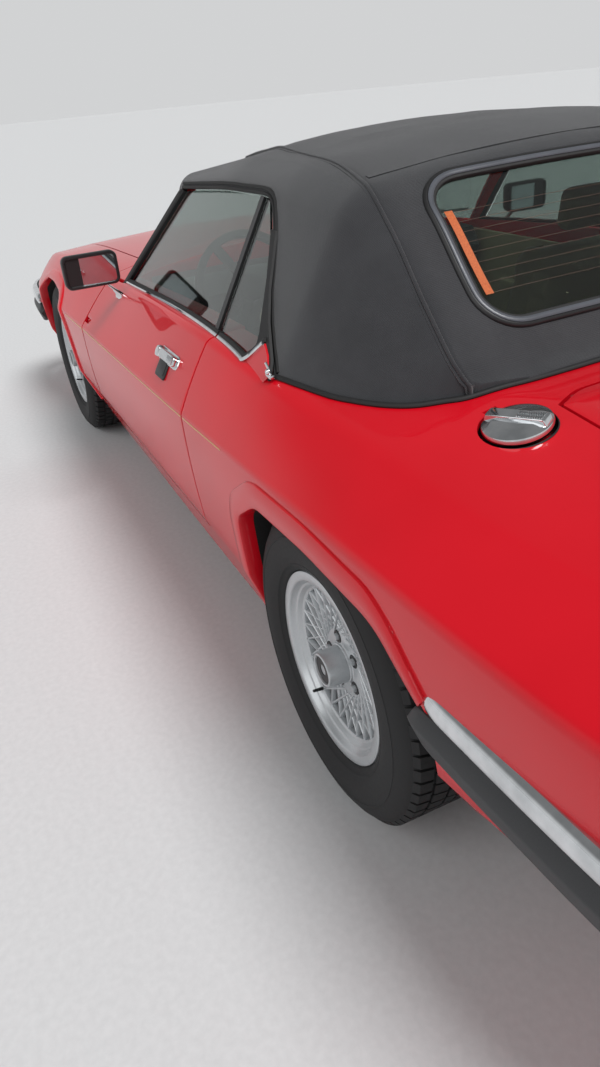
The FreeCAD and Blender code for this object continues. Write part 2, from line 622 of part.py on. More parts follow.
# Bumpers
def bumper(nose_x, start_x, z_range, inset, thick):
    """Bar wrapped round one end of the car, between its plan outline and the same outline moved inwards."""
    way = 1.0 if nose_x > 0 else -1.0
    span = abs(nose_x - start_x)
    plan = [(0.0, BUMPER_WIDTH_Y), (0.28, 884.0), (0.48, 872.0), (0.66, 846.0), (0.82, 792.0), (0.93, 700.0),
            (0.985, 560.0), (1.0, 380.0)]
    rim = [(start_x + way * share * span, y) for share, y in plan]
    outside = [(x, y - inset) for x, y in rim[:3]] + [(x - way * inset, y - inset) for x, y in rim[3:]]
    inside = [(x, y - 26.0) for x, y in rim[:3]] + [(x - way * thick, y - thick * 0.55) for x, y in rim[3:]]
    outside.append((nose_x - way * inset, 0.0))
    inside.append((nose_x - way * thick, 0.0))
    half = prism_z(outside + inside[::-1], z_range[0], z_range[1])
    return fused([half, mirrored(half)])


# Floor and cabin
def floor_pan():
    """Floor plates each side of the tunnel."""
    low = TUNNEL_HALF + PANEL + PIN_GAP
    return both(box(BULKHEAD_X + PANEL + PIN_GAP, FIREWALL_X - PIN_GAP, low, SIDE_WALL_Y - PIN_GAP,
                    FLOOR_Z - PANEL, FLOOR_Z))


def tunnel():
    """Raised channel for the gearbox and the propeller shaft."""
    rear = BULKHEAD_X + PANEL + PIN_GAP
    front = FIREWALL_X - PIN_GAP
    wall = box(rear, front, TUNNEL_HALF, TUNNEL_HALF + PANEL, FLOOR_Z - PANEL, TUNNEL_Z)
    top = box(rear, front, -TUNNEL_HALF - PANEL, TUNNEL_HALF + PANEL, TUNNEL_Z - PANEL, TUNNEL_Z)
    return fused([top, wall, mirrored(wall)])


def cross_wall(x, top):
    """Upright wall across the cabin, open below over the tunnel."""
    side = SIDE_WALL_Y - PIN_GAP
    leg = box(x, x + PANEL, TUNNEL_HALF, side, FLOOR_Z - PANEL, TUNNEL_Z)
    return fused([box(x, x + PANEL, -side, side, TUNNEL_Z - PANEL, top), leg, mirrored(leg)])


def boot_floor():
    half = BOOT_REAR_HALF - PIN_GAP
    return box(BODY_TAIL_X + 70.0, BULKHEAD_X - PIN_GAP, -half, half, BOOT_FLOOR_Z - PANEL, BOOT_FLOOR_Z)


def chassis_rails():
    return both(box(FIREWALL_X + PANEL + PIN_GAP, BODY_NOSE_X - 140.0, RAIL_Y[0], RAIL_Y[1], 300.0 + PIN_GAP, 400.0))


def left_seat():
    """Cushion, leaning back and head rest on a low base."""
    y0, y1 = 170.0, 645.0
    cushion = side_outline([(-330.0, 330.0), (180.0, 360.0), (200.0, 440.0), (170.0, 500.0), (-330.0, 460.0)], y0, y1)
    back = side_outline([(-330.0, 330.0), (-250.0, 450.0), (-400.0, 900.0), (-440.0, 930.0), (-500.0, 920.0),
                         (-480.0, 800.0), (-420.0, 400.0)], y0 + 10.0, y1 - 10.0)
    head = side_outline([(-418.0, 930.0), (-440.0, 1060.0), (-500.0, 1066.0), (-520.0, 1010.0), (-500.0, 918.0)],
                        y0 + 120.0, y1 - 120.0)
    base = box(-300.0, 120.0, y0 + 40.0, y1 - 40.0, FLOOR_Z + PIN_GAP, 360.0)
    return fused([cushion, back, head, base])


def steering_place(shape):
    placed = shape.copy()
    placed.rotate(Vector(0, 0, 0), Vector(0, 1, 0), -STEERING_LEAN_DEG)
    placed.translate(STEERING_CENTRE)
    return placed


def dashboard():
    """Dash with its centre console and the steering column."""
    face = side_outline([(639.0, 560.0), (639.0, 765.0), (500.0, 765.0), (498.0, 812.0), (420.0, 806.0), (376.0, 740.0),
                         (420.0, 640.0), (520.0, 560.0)], -645.0, 645.0)
    console = side_outline([(-300.0, TUNNEL_Z + PIN_GAP), (-300.0, 540.0), (200.0, 560.0), (440.0, 690.0),
                            (520.0, 600.0), (520.0, TUNNEL_Z + PIN_GAP)], -110.0, 110.0)
    column = steering_place(Part.makeCylinder(22.0, 190.0, Vector(0, 0, -28.0 - FACE_GAP), Vector(0, 0, -1)))
    return fused([face, console, column])


def steering_wheel():
    outline = [Vector(STEERING_RADIUS, 0, -10), Vector(STEERING_RADIUS, 0, 10), Vector(STEERING_RADIUS - 24.0, 0, 12),
               Vector(STEERING_RADIUS - 24.0, 0, -12)]
    ring = Part.Face(Part.makePolygon(outline + [outline[0]])).revolve(Vector(0, 0, 0), Vector(0, 0, 1), 360.0)
    spokes = []
    for turn in (-90.0, 30.0, 150.0):
        spoke = Part.makeBox(STEERING_RADIUS - 42.0, 30.0, 12.0, Vector(25.0, -15.0, -8.0))
        spoke.rotate(Vector(0, 0, 0), Vector(0, 0, 1), turn)
        spokes.append(spoke)
    hub = Part.makeCylinder(44.0, 40.0, Vector(0, 0, -28.0))
    return steering_place(fused([ring, hub] + spokes))


# Running gear
def driveline():
    """Gearbox and propeller shaft."""
    z = 375.0
    mount = box(280.0, 340.0, -40.0, 40.0, z + 70.0, TUNNEL_Z - PANEL - PIN_GAP)
    return fused([cylinder(88.0, Vector(820.0 - PIN_GAP, 0, z), Vector(100.0, 0, z)), mount,
                  cylinder(36.0, Vector(101.0, 0, z), Vector(REAR_AXLE_X + 130.0 + PIN_GAP, 0, z))])


def exhaust():
    pipes = []
    for y in (-200.0, 200.0):
        hanger = box(-515.0, -485.0, y - 12.0, y + 12.0, 215.0, FLOOR_Z - PANEL - PIN_GAP)
        pipes.append(fused([hanger, cylinder(24.0, Vector(900.0, y, 165.0), Vector(-2380.0, y, 165.0)),
                            cylinder(58.0, Vector(-300.0, y, 165.0), Vector(-700.0, y, 165.0))]))
    return Part.makeCompound(pipes)


def front_subframe():
    """Cross member with the engine's mounts, and an upper and a lower arm to each knuckle."""
    x = FRONT_AXLE_X
    pieces = [box(x - 60.0, x + 60.0, -436.0, 436.0, 222.0, 300.0)]
    for side in (-1.0, 1.0):
        tower_y = side * 380.0
        pieces.append(box(x - 30.0, x + 30.0, side * 230.0 - 30.0, side * 230.0 + 30.0, 299.0, 330.0 - PIN_GAP))
        pieces.append(box(x - 50.0, x + 50.0, tower_y - 12.0, tower_y + 12.0, 290.0, 480.0))
        for z in (212.0, 450.0):
            low, high = sorted((side * 375.0, side * (KINGPIN_Y + 22.0)))
            pieces.append(box(x - 16.0, x + 16.0, low, high, z - 14.0, z + 14.0))
    return fused(pieces)


def left_knuckle():
    x = FRONT_AXLE_X
    end_y = FRONT_TRACK / 2.0 - 10.0 - FACE_GAP
    return fused([box(x - 28.0, x + 28.0, KINGPIN_Y - 24.0, KINGPIN_Y + 24.0, 226.0 + FACE_GAP, 436.0 - FACE_GAP),
                  cylinder(60.0, Vector(x, KINGPIN_Y - 16.0, TYRE_RADIUS), Vector(x, end_y, TYRE_RADIUS))])


def rear_axle():
    """Final drive with its half shafts, lower arms and hub carriers."""
    end_y = REAR_TRACK / 2.0 - 10.0 - FACE_GAP
    pieces = [box(REAR_AXLE_X - 110.0, REAR_AXLE_X + 130.0, -110.0, 110.0, 225.0, 430.0),
              box(REAR_AXLE_X - 40.0, REAR_AXLE_X + 60.0, -90.0, 90.0, 429.0, BOOT_FLOOR_Z - PANEL - PIN_GAP)]
    for side in (-1.0, 1.0):
        end = Vector(REAR_AXLE_X, side * end_y, TYRE_RADIUS)
        pieces.append(cylinder(24.0, Vector(REAR_AXLE_X, side * 100.0, TYRE_RADIUS), end))
        pieces.append(cylinder(62.0, end, end - Vector(0, side * 90.0, 0)))
        low, high = sorted((side * 100.0, side * (REAR_TRACK / 2.0 - 62.0)))
        pieces.append(box(REAR_AXLE_X - 20.0, REAR_AXLE_X + 20.0, low, high, 240.0, 280.0))
    return fused(pieces)


def wheel(axle_x, track, side):
    """Tyre and lattice rim about the wheel's own axle, side +1 left and -1 right."""
    half = TYRE_WIDTH / 2.0
    seat = RIM_SEAT_RADIUS
    lip = RIM_WIDTH / 2.0
    bead = lip - 8.0
    tyre_profile = [(seat, -bead), (TYRE_RADIUS * 0.83, -half), (TYRE_RADIUS, -half * 0.77),
                    (TYRE_RADIUS, half * 0.77), (TYRE_RADIUS * 0.83, half), (seat, bead)]
    rim_profile = [(seat, -bead), (seat, bead), (RIM_LIP_RADIUS, lip), (seat - 12.0, bead - 20.0),
                   (seat - 12.0, -lip)]
    hub_profile = [(0.0, -10.0), (HUB_RADIUS, -10.0), (HUB_RADIUS, 40.0), (HUB_CAP_RADIUS, 40.0),
                   (HUB_CAP_RADIUS, HUB_CAP_REACH), (0.0, HUB_CAP_REACH)]
    turned = []
    for profile in (tyre_profile, rim_profile, hub_profile):
        points = [Vector(0, across, radius) for radius, across in profile]
        face = Part.Face(Part.makePolygon(points + [points[0]]))
        turned.append(face.revolve(Vector(0, 0, 0), Vector(0, 1, 0), 360.0))
    spokes = []
    step = 360.0 / SPOKE_PAIRS
    inner_r = HUB_RADIUS - 4.0
    outer_r = seat - 10.0
    for lean, y in ((1.0, SPOKE_BACK_Y), (-1.0, SPOKE_FRONT_Y)):
        sweep = math.radians(lean * step * 1.5)
        start = Vector(0, y, inner_r)
        end = Vector(outer_r * math.sin(sweep), y, outer_r * math.cos(sweep))
        way = end - start
        spoke = Part.makeBox(SPOKE_WIDTH, SPOKE_WIDTH, way.Length, Vector(-SPOKE_WIDTH / 2.0, -SPOKE_WIDTH / 2.0, 0))
        spoke.Placement = FreeCAD.Placement(start, FreeCAD.Rotation(Vector(0, 0, 1), way))
        for k in range(SPOKE_PAIRS):
            turn = spoke.copy()
            turn.rotate(Vector(0, 0, 0), Vector(0, 1, 0), k * step)
            spokes.append(turn)
    rim = turned[1].fuse([turned[2]] + spokes)
    shapes = [turned[0], rim]
    placed = []
    for shape in shapes:
        copy = shape.copy() if side > 0 else mirrored(shape)
        copy.translate(Vector(axle_x, side * track / 2.0, TYRE_RADIUS))
        placed.append(copy)
    return placed


def main():
    os.makedirs("parts", exist_ok=True)
    outer = body_loft(0.0)
    proud = body_loft(FLARE_PROUD)
    wings = rear_wings(outer, proud) + front_wings(outer, proud)
    for name, shape in zip(("rear_wing_left", "rear_wing_right", "front_wing_left", "front_wing_right"), wings):
        export(name, shape)
    export("scuttle_panel", scuttle_panel(outer))
    export("rear_deck", rear_deck(outer))
    export("bonnet", bonnet(outer))
    export("boot_lid", boot_lid(outer))
    export("nose_panel", nose_panel(outer))
    tail, tail_lamps = tail_panel(outer)
    export("tail_panel", tail)
    export("tail_lamps", tail_lamps)
    export("headlamps", headlamps())
    export("grille", grille())

    glass = glass_plate(DOOR_GLASS, GLASS_THICK)
    for name, shape in (("door", left_door(outer, glass)), ("door_glass", glass), ("door_handle", left_handle(outer)),
                        ("door_mirror", left_mirror(outer))):
        export(name + "_left", shape)
        export(name + "_right", mirrored(shape))

    frame = screen_band(SCREEN_BORDER, 6.0, SCREEN_FRAME_THICK).cut([screen_band(0.0, 60.0, 120.0), outer])
    export("windscreen_frame", frame)
    export("windscreen", screen_band(-PIN_GAP, 3.0, 6.0).cut(outer))
    export("soft_top", soft_top(outer))
    export("rear_window", rear_window())
    export("quarter_glass", both(glass_plate(QUARTER_GLASS, GLASS_THICK).cut(outer)))
    export("division_bars", both(glass_plate(DIVISION_BAR, 20.0, 6.0).cut(outer)))

    solids = [outer] + [wings[2], wings[3]]
    export("rear_bumper", bumper(-BUMPER_REACH, REAR_BUMPER_X, REAR_BUMPER_Z, 0.0, BUMPER_THICK).cut(outer))
    export("rear_bumper_blade", bumper(-BUMPER_REACH, REAR_BLADE_X, REAR_BLADE_Z, BLADE_INSET, BLADE_THICK).cut(outer))
    export("front_bumper", bumper(BUMPER_REACH, FRONT_BUMPER_X, FRONT_BUMPER_Z, 0.0, BUMPER_THICK).cut(solids))
    export("front_bumper_blade",
           bumper(BUMPER_REACH, FRONT_BLADE_X, FRONT_BLADE_Z, BLADE_INSET, BLADE_THICK).cut(solids))

    disc = Part.makeCylinder(FILLER_RADIUS, 14.0, Vector(0, 0, -6.0))
    lug = box(40.0, FILLER_PIN_X + 5.0, -9.0, 9.0, -6.0, 3.0)
    hole = cylinder(2.5 + PIN_GAP, Vector(FILLER_PIN_X, -20.0, -2.0), Vector(FILLER_PIN_X, 20.0, -2.0))
    export("filler_lid", filler_place(disc.fuse(lug).cut(hole)))

    export("floor_pan", floor_pan())
    export("tunnel", tunnel())
    export("firewall", cross_wall(FIREWALL_X, COWL_Z - PIN_GAP))
    export("rear_bulkhead", cross_wall(BULKHEAD_X, 790.0))
    export("boot_floor", boot_floor())
    export("chassis_rails", chassis_rails())
    export("door_post_left", left_door_post())
    export("door_post_right", mirrored(left_door_post()))
    export("seat_left", left_seat())
    export("seat_right", mirrored(left_seat()))
    export("dashboard", dashboard())
    export("rear_shelf", box(BULKHEAD_X + PANEL + PIN_GAP, -560.0, -680.0, 680.0, 500.0, 540.0))
    export("steering_wheel", steering_wheel())

    export("engine", box(820.0, 1520.0, -300.0, 300.0, 330.0, 700.0))
    export("driveline", driveline())
    export("exhaust", exhaust())
    export("front_subframe", front_subframe())
    export("knuckle_left", left_knuckle())
    export("knuckle_right", mirrored(left_knuckle()))
    export("rear_axle", rear_axle())
    for name, x, track, side in (("front_left", FRONT_AXLE_X, FRONT_TRACK, 1.0),
                                 ("front_right", FRONT_AXLE_X, FRONT_TRACK, -1.0),
                                 ("rear_left", REAR_AXLE_X, REAR_TRACK, 1.0),
                                 ("rear_right", REAR_AXLE_X, REAR_TRACK, -1.0)):
        tyre, rim = wheel(x, track, side)
        export("tyre_" + name, tyre)
        export("rim_" + name, rim)


main()
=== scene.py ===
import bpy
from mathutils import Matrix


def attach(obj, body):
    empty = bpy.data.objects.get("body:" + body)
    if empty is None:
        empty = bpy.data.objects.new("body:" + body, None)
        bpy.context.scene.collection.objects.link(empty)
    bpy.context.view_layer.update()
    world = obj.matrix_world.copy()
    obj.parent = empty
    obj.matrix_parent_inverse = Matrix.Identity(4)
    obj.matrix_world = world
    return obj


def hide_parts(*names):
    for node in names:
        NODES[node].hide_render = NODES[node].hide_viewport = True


bl_info = {
    "name": "Convertible Car",
    "version": (1, 0, 0),
    "blender": (4, 5, 0),
    "location": "3D View > Sidebar > Car",
    "description": "Dresses a two-door car with a raised fabric top around its packed frame",
    "category": "Object",
}

import functools
import math

import bmesh
import bpy
from bpy.props import FloatProperty, FloatVectorProperty, IntProperty, PointerProperty, StringProperty
from mathutils import Euler, Matrix, Vector, noise
from mathutils.bvhtree import BVHTree

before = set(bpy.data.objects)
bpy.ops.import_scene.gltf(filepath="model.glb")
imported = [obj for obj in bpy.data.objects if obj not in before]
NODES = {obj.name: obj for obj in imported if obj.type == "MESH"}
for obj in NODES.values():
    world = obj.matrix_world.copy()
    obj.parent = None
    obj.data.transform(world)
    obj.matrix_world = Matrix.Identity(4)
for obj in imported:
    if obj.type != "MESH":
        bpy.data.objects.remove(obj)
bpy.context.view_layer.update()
MM = 0.001

# Shapes are worked out in millimetres, +X to the front, +Y to the car's left, +Z up, and made metres when placed.
# Stations and clearances of the frame
FRONT_AXLE_X = 1424.5
REAR_AXLE_X = -1166.5
AXLE_Z = 331.5
WHEEL_Y = {"front": 744, "rear": 752}
NOSE_X = 2290
TAIL_X = -2300
BUMPER_REACH = 2434
SHUT_GAP = 6
DOOR_FRONT_GAP = 11
SHEET = 12
DOOR_FRONT_X = 681
DOOR_REAR_X = -522
DOOR_BOTTOM_Z = 372
DOOR_INNER_FRONT_X = 505
BELT_Z = 766
BONNET_X = (730, 2140)
BONNET_HALF = (600, 560)
BOOT_SILL_Z = 625
BOOT_PLAN = ((-1332, 401), (-1360, 461), (-2340, 520))
FILLER = Vector((-1359, 555, 862))
FILLER_TILT = math.radians(-12)
GLASS_POINT = Vector((512, 735, 800))
GLASS_NORMAL = Vector((0.0507, 0.8974, 0.4374))
WINDOW_HEAD = Vector((-915, 0, 1198))
WINDOW_FOOT = Vector((-1169, 0, 960))
WINDOW_HALF = (455, 460)
WINDOW_LENGTH = (WINDOW_FOOT - WINDOW_HEAD).length
WINDOW_DOWN = (WINDOW_FOOT - WINDOW_HEAD).normalized()
WINDOW_NORMAL = Vector((WINDOW_DOWN.z, 0, -WINDOW_DOWN.x))
TOP_FRONT_X = 118
TOP_REAR_X = -1249
LAMP_SPOTS = (-520, -395, 395, 520)
LAMP_Z = 599
LID_ARM_Y = 300
TAIL_PIPE_Y = 200
# Limits beyond the body, for cells that panels are cut with
OUTER_Y = 980
OVER_Z = 1000
UNDER_Z = 150
SIDES = ((1, "left"), (-1, "right"))

# Body sections, left half
# x, sill y and z, tuck y and z, waist y and z, shoulder y and z, shoulder radius, edge y and z, crown z
BODY_ROWS = [
    (2290, 560, 360, 615, 450, 640, 560, 600, 646, 30, 420, 662, 668),
    (2120, 700, 300, 772, 400, 800, 585, 725, 684, 45, 520, 702, 716),
    (1800, 780, 245, 852, 390, 874, 602, 765, 735, 60, 560, 750, 770),
    (1400, 800, 230, 876, 386, 893, 618, 775, 772, 60, 575, 786, 806),
    (1000, 806, 224, 876, 388, 893, 632, 766, 788, 48, 590, 812, 836),
    (700, 808, 220, 876, 390, 893, 644, 757, 797, 36, 600, 830, 860),
    (-525, 812, 216, 875, 394, 895, 690, 797, 855, 34, 640, 864, 884),
    (-870, 812, 216, 878, 396, 895, 707, 790, 850, 60, 600, 868, 884),
    (-1166.5, 812, 222, 880, 402, 895, 722, 766, 830, 90, 520, 872, 884),
    (-1500, 800, 290, 872, 424, 891, 738, 738, 808, 100, 440, 866, 876),
    (-1800, 776, 345, 846, 442, 882, 752, 706, 802, 100, 430, 856, 866),
    (-2100, 735, 350, 808, 450, 846, 766, 670, 798, 90, 415, 844, 853),
    (-2300, 650, 360, 712, 466, 765, 762, 615, 790, 60, 390, 824, 834),
]
WAIST_RADIUS = 26

# Fabric top sections, left half: x, foot y, eave y, eave z, eave radius, crown z
TOP_ROWS = [
    (118, 740, 606, 1156, 60, 1198),
    (-120, 752, 604, 1184, 90, 1240),
    (-360, 764, 602, 1212, 100, 1262),
    (-620, 776, 600, 1212, 110, 1262),
    (-860, 802, 588, 1188, 130, 1234),
    (-960, 786, 565, 1130, 130, 1160),
    (-1080, 749, 558, 1018, 90, 1044),
    (-1150, 711, 563, 956, 60, 979),
    (-1200, 641, 568, 912, 20, 927),
    (-1226, 560, 552, 887, 8, 905),
    (-1249, 450, 446, 884, 5, 893),
]
TOP_FOOT_Z = 800

# Wheel arch openings in side view: x, z, corner radius
REAR_ARCH = [(-842, 150, 0), (-862, 560, 60), (-985, 638, 120), (-1220, 652, 900), (-1455, 641, 160),
             (-1590, 548, 40), (-1604, 150, 0)]
FRONT_ARCH = [(1796, 150, 0), (1790, 520, 150), (1640, 668, 200), (1424, 682, 900), (1208, 668, 200),
              (1058, 520, 150), (1046, 150, 0)]

# Side windows in side view (x, z)
SIDE_OPENING = [(520, 700), (520, 790), (104, 1122), (78, 1126), (-282, 1152), (-545, 1158), (-592, 1150),
                (-650, 1088), (-694, 1010), (-712, 978), (-760, 928), (-836, 874), (-864, 845), (-864, 700)]


# Curves and outlines
def smooth_rows(rows):
    """Function of x that runs smoothly through rows that start with their x, and never swings past them."""
    last = len(rows) - 1
    steps = [rows[i + 1][0] - rows[i][0] for i in range(last)]

    def slope(i, column):
        if i in (0, last):
            j = min(i, last - 1)
            return (rows[j + 1][column] - rows[j][column]) / steps[j]
        before = (rows[i][column] - rows[i - 1][column]) / steps[i - 1]
        after = (rows[i + 1][column] - rows[i][column]) / steps[i]
        if before * after <= 0:
            return 0
        return 2 * before * after / (before + after)

    slopes = [[slope(i, c) for c in range(len(rows[0]))] for i in range(last + 1)]

    def at(x):
        i = 0
        while i < last - 1 and (x - rows[i + 1][0]) * steps[i] > 0:
            i += 1
        t = (x - rows[i][0]) / steps[i]
        values = []
        for c in range(1, len(rows[0])):
            a, b = rows[i][c], rows[i + 1][c]
            u, w = slopes[i][c] * steps[i], slopes[i + 1][c] * steps[i]
            values.append(a + t * (u + t * (3 * (b - a) - 2 * u - w + t * (2 * (a - b) + u + w))))
        return values

    return at


def corner(before, here, after, radius, steps):
    """Points of an arc that rounds a corner, cut short where the neighbours are close."""
    a, c, b = Vector(before), Vector(here), Vector(after)
    u, w = (a - c).normalized(), (b - c).normalized()
    half = u.angle(w) / 2
    if radius <= 0 or half > math.radians(89.5):
        return [tuple(c)] * (steps + 1)
    reach = min(radius / math.tan(half), 0.46 * (a - c).length, 0.46 * (b - c).length)
    radius = reach * math.tan(half)
    middle = c + (u + w).normalized() * (radius / math.sin(half))
    start = c + u * reach - middle
    turn = start.angle_signed(c + w * reach - middle)
    points = []
    for k in range(steps + 1):
        arm = start.copy()
        arm.rotate(Matrix.Rotation(-turn * k / steps, 2))
        points.append(tuple(middle + arm))
    return points


def rounded(points, radii, steps=6):
    """Closed outline with an arc at each corner."""
    count = len(points)
    outline = []
    for i in range(count):
        if radii[i] > 0:
            outline += corner(points[i - 1], points[i], points[(i + 1) % count], radii[i], steps)
        else:
            outline.append(tuple(points[i]))
    return outline


def moved(points, distance):
    """Moves each edge of a closed outline sideways, to its left as it runs."""
    count = len(points)
    result = []
    for i in range(count):
        a, b, c = Vector(points[i - 1]), Vector(points[i]), Vector(points[(i + 1) % count])
        u, w = (b - a).normalized(), (c - b).normalized()
        nu, nw = Vector((-u.y, u.x)), Vector((-w.y, w.x))
        result.append(tuple(b + (nu + nw) * (distance / max(0.3, 1 + nu.dot(nw)))))
    return result


def line(a, b, count):
    """Points from a up to but not including b."""
    a, b = Vector(a), Vector(b)
    return [tuple(a.lerp(b, k / count)) for k in range(count)]


def even(points, step, closed=False):
    """The same 3D line with points evenly apart."""
    points = [Vector(p) for p in points]
    if closed:
        points.append(points[0].copy())
    lengths = [0]
    for a, b in zip(points, points[1:]):
        lengths.append(lengths[-1] + (b - a).length)
    count = max(2, round(lengths[-1] / step))
    result = []
    i = 0
    for k in range(count if closed else count + 1):
        reach = lengths[-1] * k / count
        while i < len(points) - 2 and lengths[i + 1] < reach:
            i += 1
        span = max(lengths[i + 1] - lengths[i], 1e-9)
        result.append(points[i].lerp(points[i + 1], (reach - lengths[i]) / span))
    return result


def curve_through(points, step):
    """Evenly spaced points of a smooth curve through a few 3D points."""
    points = [Vector(p) for p in points]
    ends = [points[0] * 2 - points[1]] + points + [points[-1] * 2 - points[-2]]
    fine = []
    for i in range(1, len(ends) - 2):
        a, b, c, d = ends[i - 1:i + 3]
        for k in range(12):
            t = k / 12
            fine.append(0.5 * (2 * b + (c - a) * t + (2 * a - 5 * b + 4 * c - d) * t ** 2 + (3 * b - a - 3 * c + d)
                               * t ** 3))
    return even(fine + [points[-1]], step)


# Surfaces of the body and of the fabric top
body_row = smooth_rows(BODY_ROWS)
top_row = smooth_rows(TOP_ROWS)


def crowned(a, b, count, bulge):
    """Points from a up to but not including b on a shallow arch that stands bulge to the right of the line."""
    a, b = Vector(a), Vector(b)
    side = Vector((b.y - a.y, a.x - b.x)).normalized()
    return [tuple(a.lerp(b, k / count) + side * (4 * bulge * k / count * (1 - k / count))) for k in range(count)]


@functools.lru_cache(maxsize=None)
def body_half(x):
    """Left half of the body's section at x, from the sill over the shoulder to the centre line."""
    row = body_row(x)
    sill, tuck, waist, shoulder = (Vector(row[i:i + 2]) for i in (0, 2, 4, 6))
    edge, crown = Vector(row[9:11]), Vector((200, row[11]))
    waist_arc = corner(tuck, waist, shoulder, WAIST_RADIUS, 5)
    shoulder_arc = corner(waist, shoulder, edge, row[8], 9)
    edge_arc = corner(shoulder, edge, crown, 400, 4)
    points = line(sill, tuck, 5) + crowned(tuck, waist_arc[0], 9, 4) + waist_arc[:-1]
    points += crowned(waist_arc[-1], shoulder_arc[0], 7, 3) + shoulder_arc[:-1]
    points += line(shoulder_arc[-1], edge_arc[0], 5) + edge_arc[:-1] + line(edge_arc[-1], crown, 8)
    return points + line(crown, (0, crown.y), 4) + [(0, crown.y)]


def width_at(points, z):
    """How far out half a section is at height z."""
    for a, b in zip(points, points[1:]):
        if a[1] <= z <= b[1]:
            return a[0] + (b[0] - a[0]) * (z - a[1]) / max(b[1] - a[1], 1e-6)
    return points[0][0]


def height_at(points, y):
    """Height of half a section's upper side at y."""
    y = abs(y)
    for a, b in reversed(list(zip(points, points[1:]))):
        if b[0] <= y <= a[0]:
            return a[1] + (b[1] - a[1]) * (a[0] - y) / max(a[0] - b[0], 1e-6)
    return points[0][1]


def side_y(x, z):
    """How far out the body's side is at x and height z."""
    return width_at(body_half(x), z)


def deck_z(x, y):
    """Height of the body's upper side at x and y."""
    return height_at(body_half(x), y)


@functools.lru_cache(maxsize=None)
def top_half(x):
    """Left half of the fabric top's section at x, from its foot inside the body to the centre line."""
    foot_y, eave_y, eave_z, radius, crown_z = top_row(x)
    crown = [(eave_y * (1 - k / 16), crown_z - (crown_z - eave_z) * (1 - k / 16) ** 2) for k in range(17)]
    arc = corner((foot_y, TOP_FOOT_Z), crown[0], crown[5], radius, 8)
    side = line((foot_y, TOP_FOOT_Z), arc[0], 14)
    over = [p for p in crown if p[0] < arc[-1][0] - 2][-11:]
    return side + arc + over


def top_side_y(x, z):
    """How far out the fabric top's side is at x and height z."""
    return width_at(top_half(x), z)


def top_z(x, y):
    """Height of the fabric top at x and y."""
    return height_at(top_half(x), y)


def slopes(surface, a, b, reach):
    """How fast a surface changes along each of its two coordinates."""
    return ((surface(a + reach, b) - surface(a - reach, b)) / (2 * reach),
            (surface(a, b + reach) - surface(a, b - reach)) / (2 * reach))


def normal_of(height, x, y):
    """Upward normal of a height function."""
    dx, dy = slopes(height, x, y, 3)
    return Vector((-dx, -dy, 1)).normalized()


def side_normal(x, z):
    """Outward normal of the fabric top's left side."""
    dx, dz = slopes(top_side_y, x, z, 4)
    return Vector((-dx, 1, -dz)).normalized()


def glass_y(x, z):
    """How far out the plane of the left side glass is."""
    n = GLASS_NORMAL
    return (n.dot(GLASS_POINT) - n.x * x - n.z * z) / n.y


def whole(half):
    """Section made of its left half and the mirror image."""
    return half + [(-y, z) for y, z in half[-2::-1]]


def whole_plan(half):
    """Plan line made of its left half and the mirror image."""
    return half + [Vector((p.x, -p.y, 0)) for p in half[-2::-1]]


def tangents(points):
    """Direction of an open line at each of its points."""
    last = len(points) - 1
    return [(points[min(i + 1, last)] - points[max(i - 1, 0)]).normalized() for i in range(last + 1)]


# Mesh tools
def mesh_of(bm, name="work"):
    """Mesh of a bmesh, which is used up."""
    mesh = bpy.data.meshes.new(name)
    bm.to_mesh(mesh)
    bm.free()
    return mesh


def linked(name, data):
    """New object in the scene."""
    thing = bpy.data.objects.new(name, data)
    bpy.context.scene.collection.objects.link(thing)
    return thing


def loft(sections, closed=True, capped=True):
    """Extrudes the first outline through the others, which have as many points, and closes the ends."""
    bm = bmesh.new()
    ring = [bm.verts.new(p) for p in sections[0]]
    count = len(ring)
    edges = [bm.edges.new((ring[i], ring[(i + 1) % count])) for i in range(count if closed else count - 1)]
    for section in sections[1:]:
        grown = bmesh.ops.extrude_edge_only(bm, edges=edges)["geom"]
        fresh = {v for v in grown if isinstance(v, bmesh.types.BMVert)}
        following = []
        for old, point in zip(ring, section):
            new = next(e.other_vert(old) for e in old.link_edges if e.other_vert(old) in fresh)
            new.co = point
            following.append(new)
        edges = [e for e in grown if isinstance(e, bmesh.types.BMEdge) and e.verts[0] in fresh
                 and e.verts[1] in fresh]
        ring = following
    if closed and capped:
        bmesh.ops.holes_fill(bm, edges=[e for e in bm.edges if e.is_boundary], sides=0)
    bmesh.ops.recalc_face_normals(bm, faces=bm.faces)
    return bm


def prism(outline, low, high, axis="Y"):
    """Flat outline extruded along an axis: (x, z) along Y, (x, y) along Z and (y, z) along X."""
    where = {"X": lambda a, b, c: (c, a, b), "Y": lambda a, b, c: (a, c, b), "Z": lambda a, b, c: (a, b, c)}[axis]
    return loft([[where(a, b, level) for a, b in outline] for level in (low, high)])


def block(x0, x1, y0, y1, z0, z1, bevel=0):
    """Box between two corners, with rounded edges where a bevel is given."""
    bm = bmesh.new()
    bmesh.ops.create_cube(bm, size=1)
    bmesh.ops.scale(bm, verts=bm.verts, vec=(x1 - x0, y1 - y0, z1 - z0))
    bmesh.ops.translate(bm, verts=bm.verts, vec=((x0 + x1) / 2, (y0 + y1) / 2, (z0 + z1) / 2))
    if bevel:
        soften(bm, bevel)
    return bm


def soften(bm, width, segments=2, angle=40):
    """Rounds every edge that is sharper than the angle."""
    sharp = [e for e in bm.edges if len(e.link_faces) == 2 and e.calc_face_angle() > math.radians(angle)]
    bmesh.ops.bevel(bm, geom=sharp, offset=width, segments=segments, profile=0.5, affect="EDGES", material=-1,
                    clamp_overlap=True)


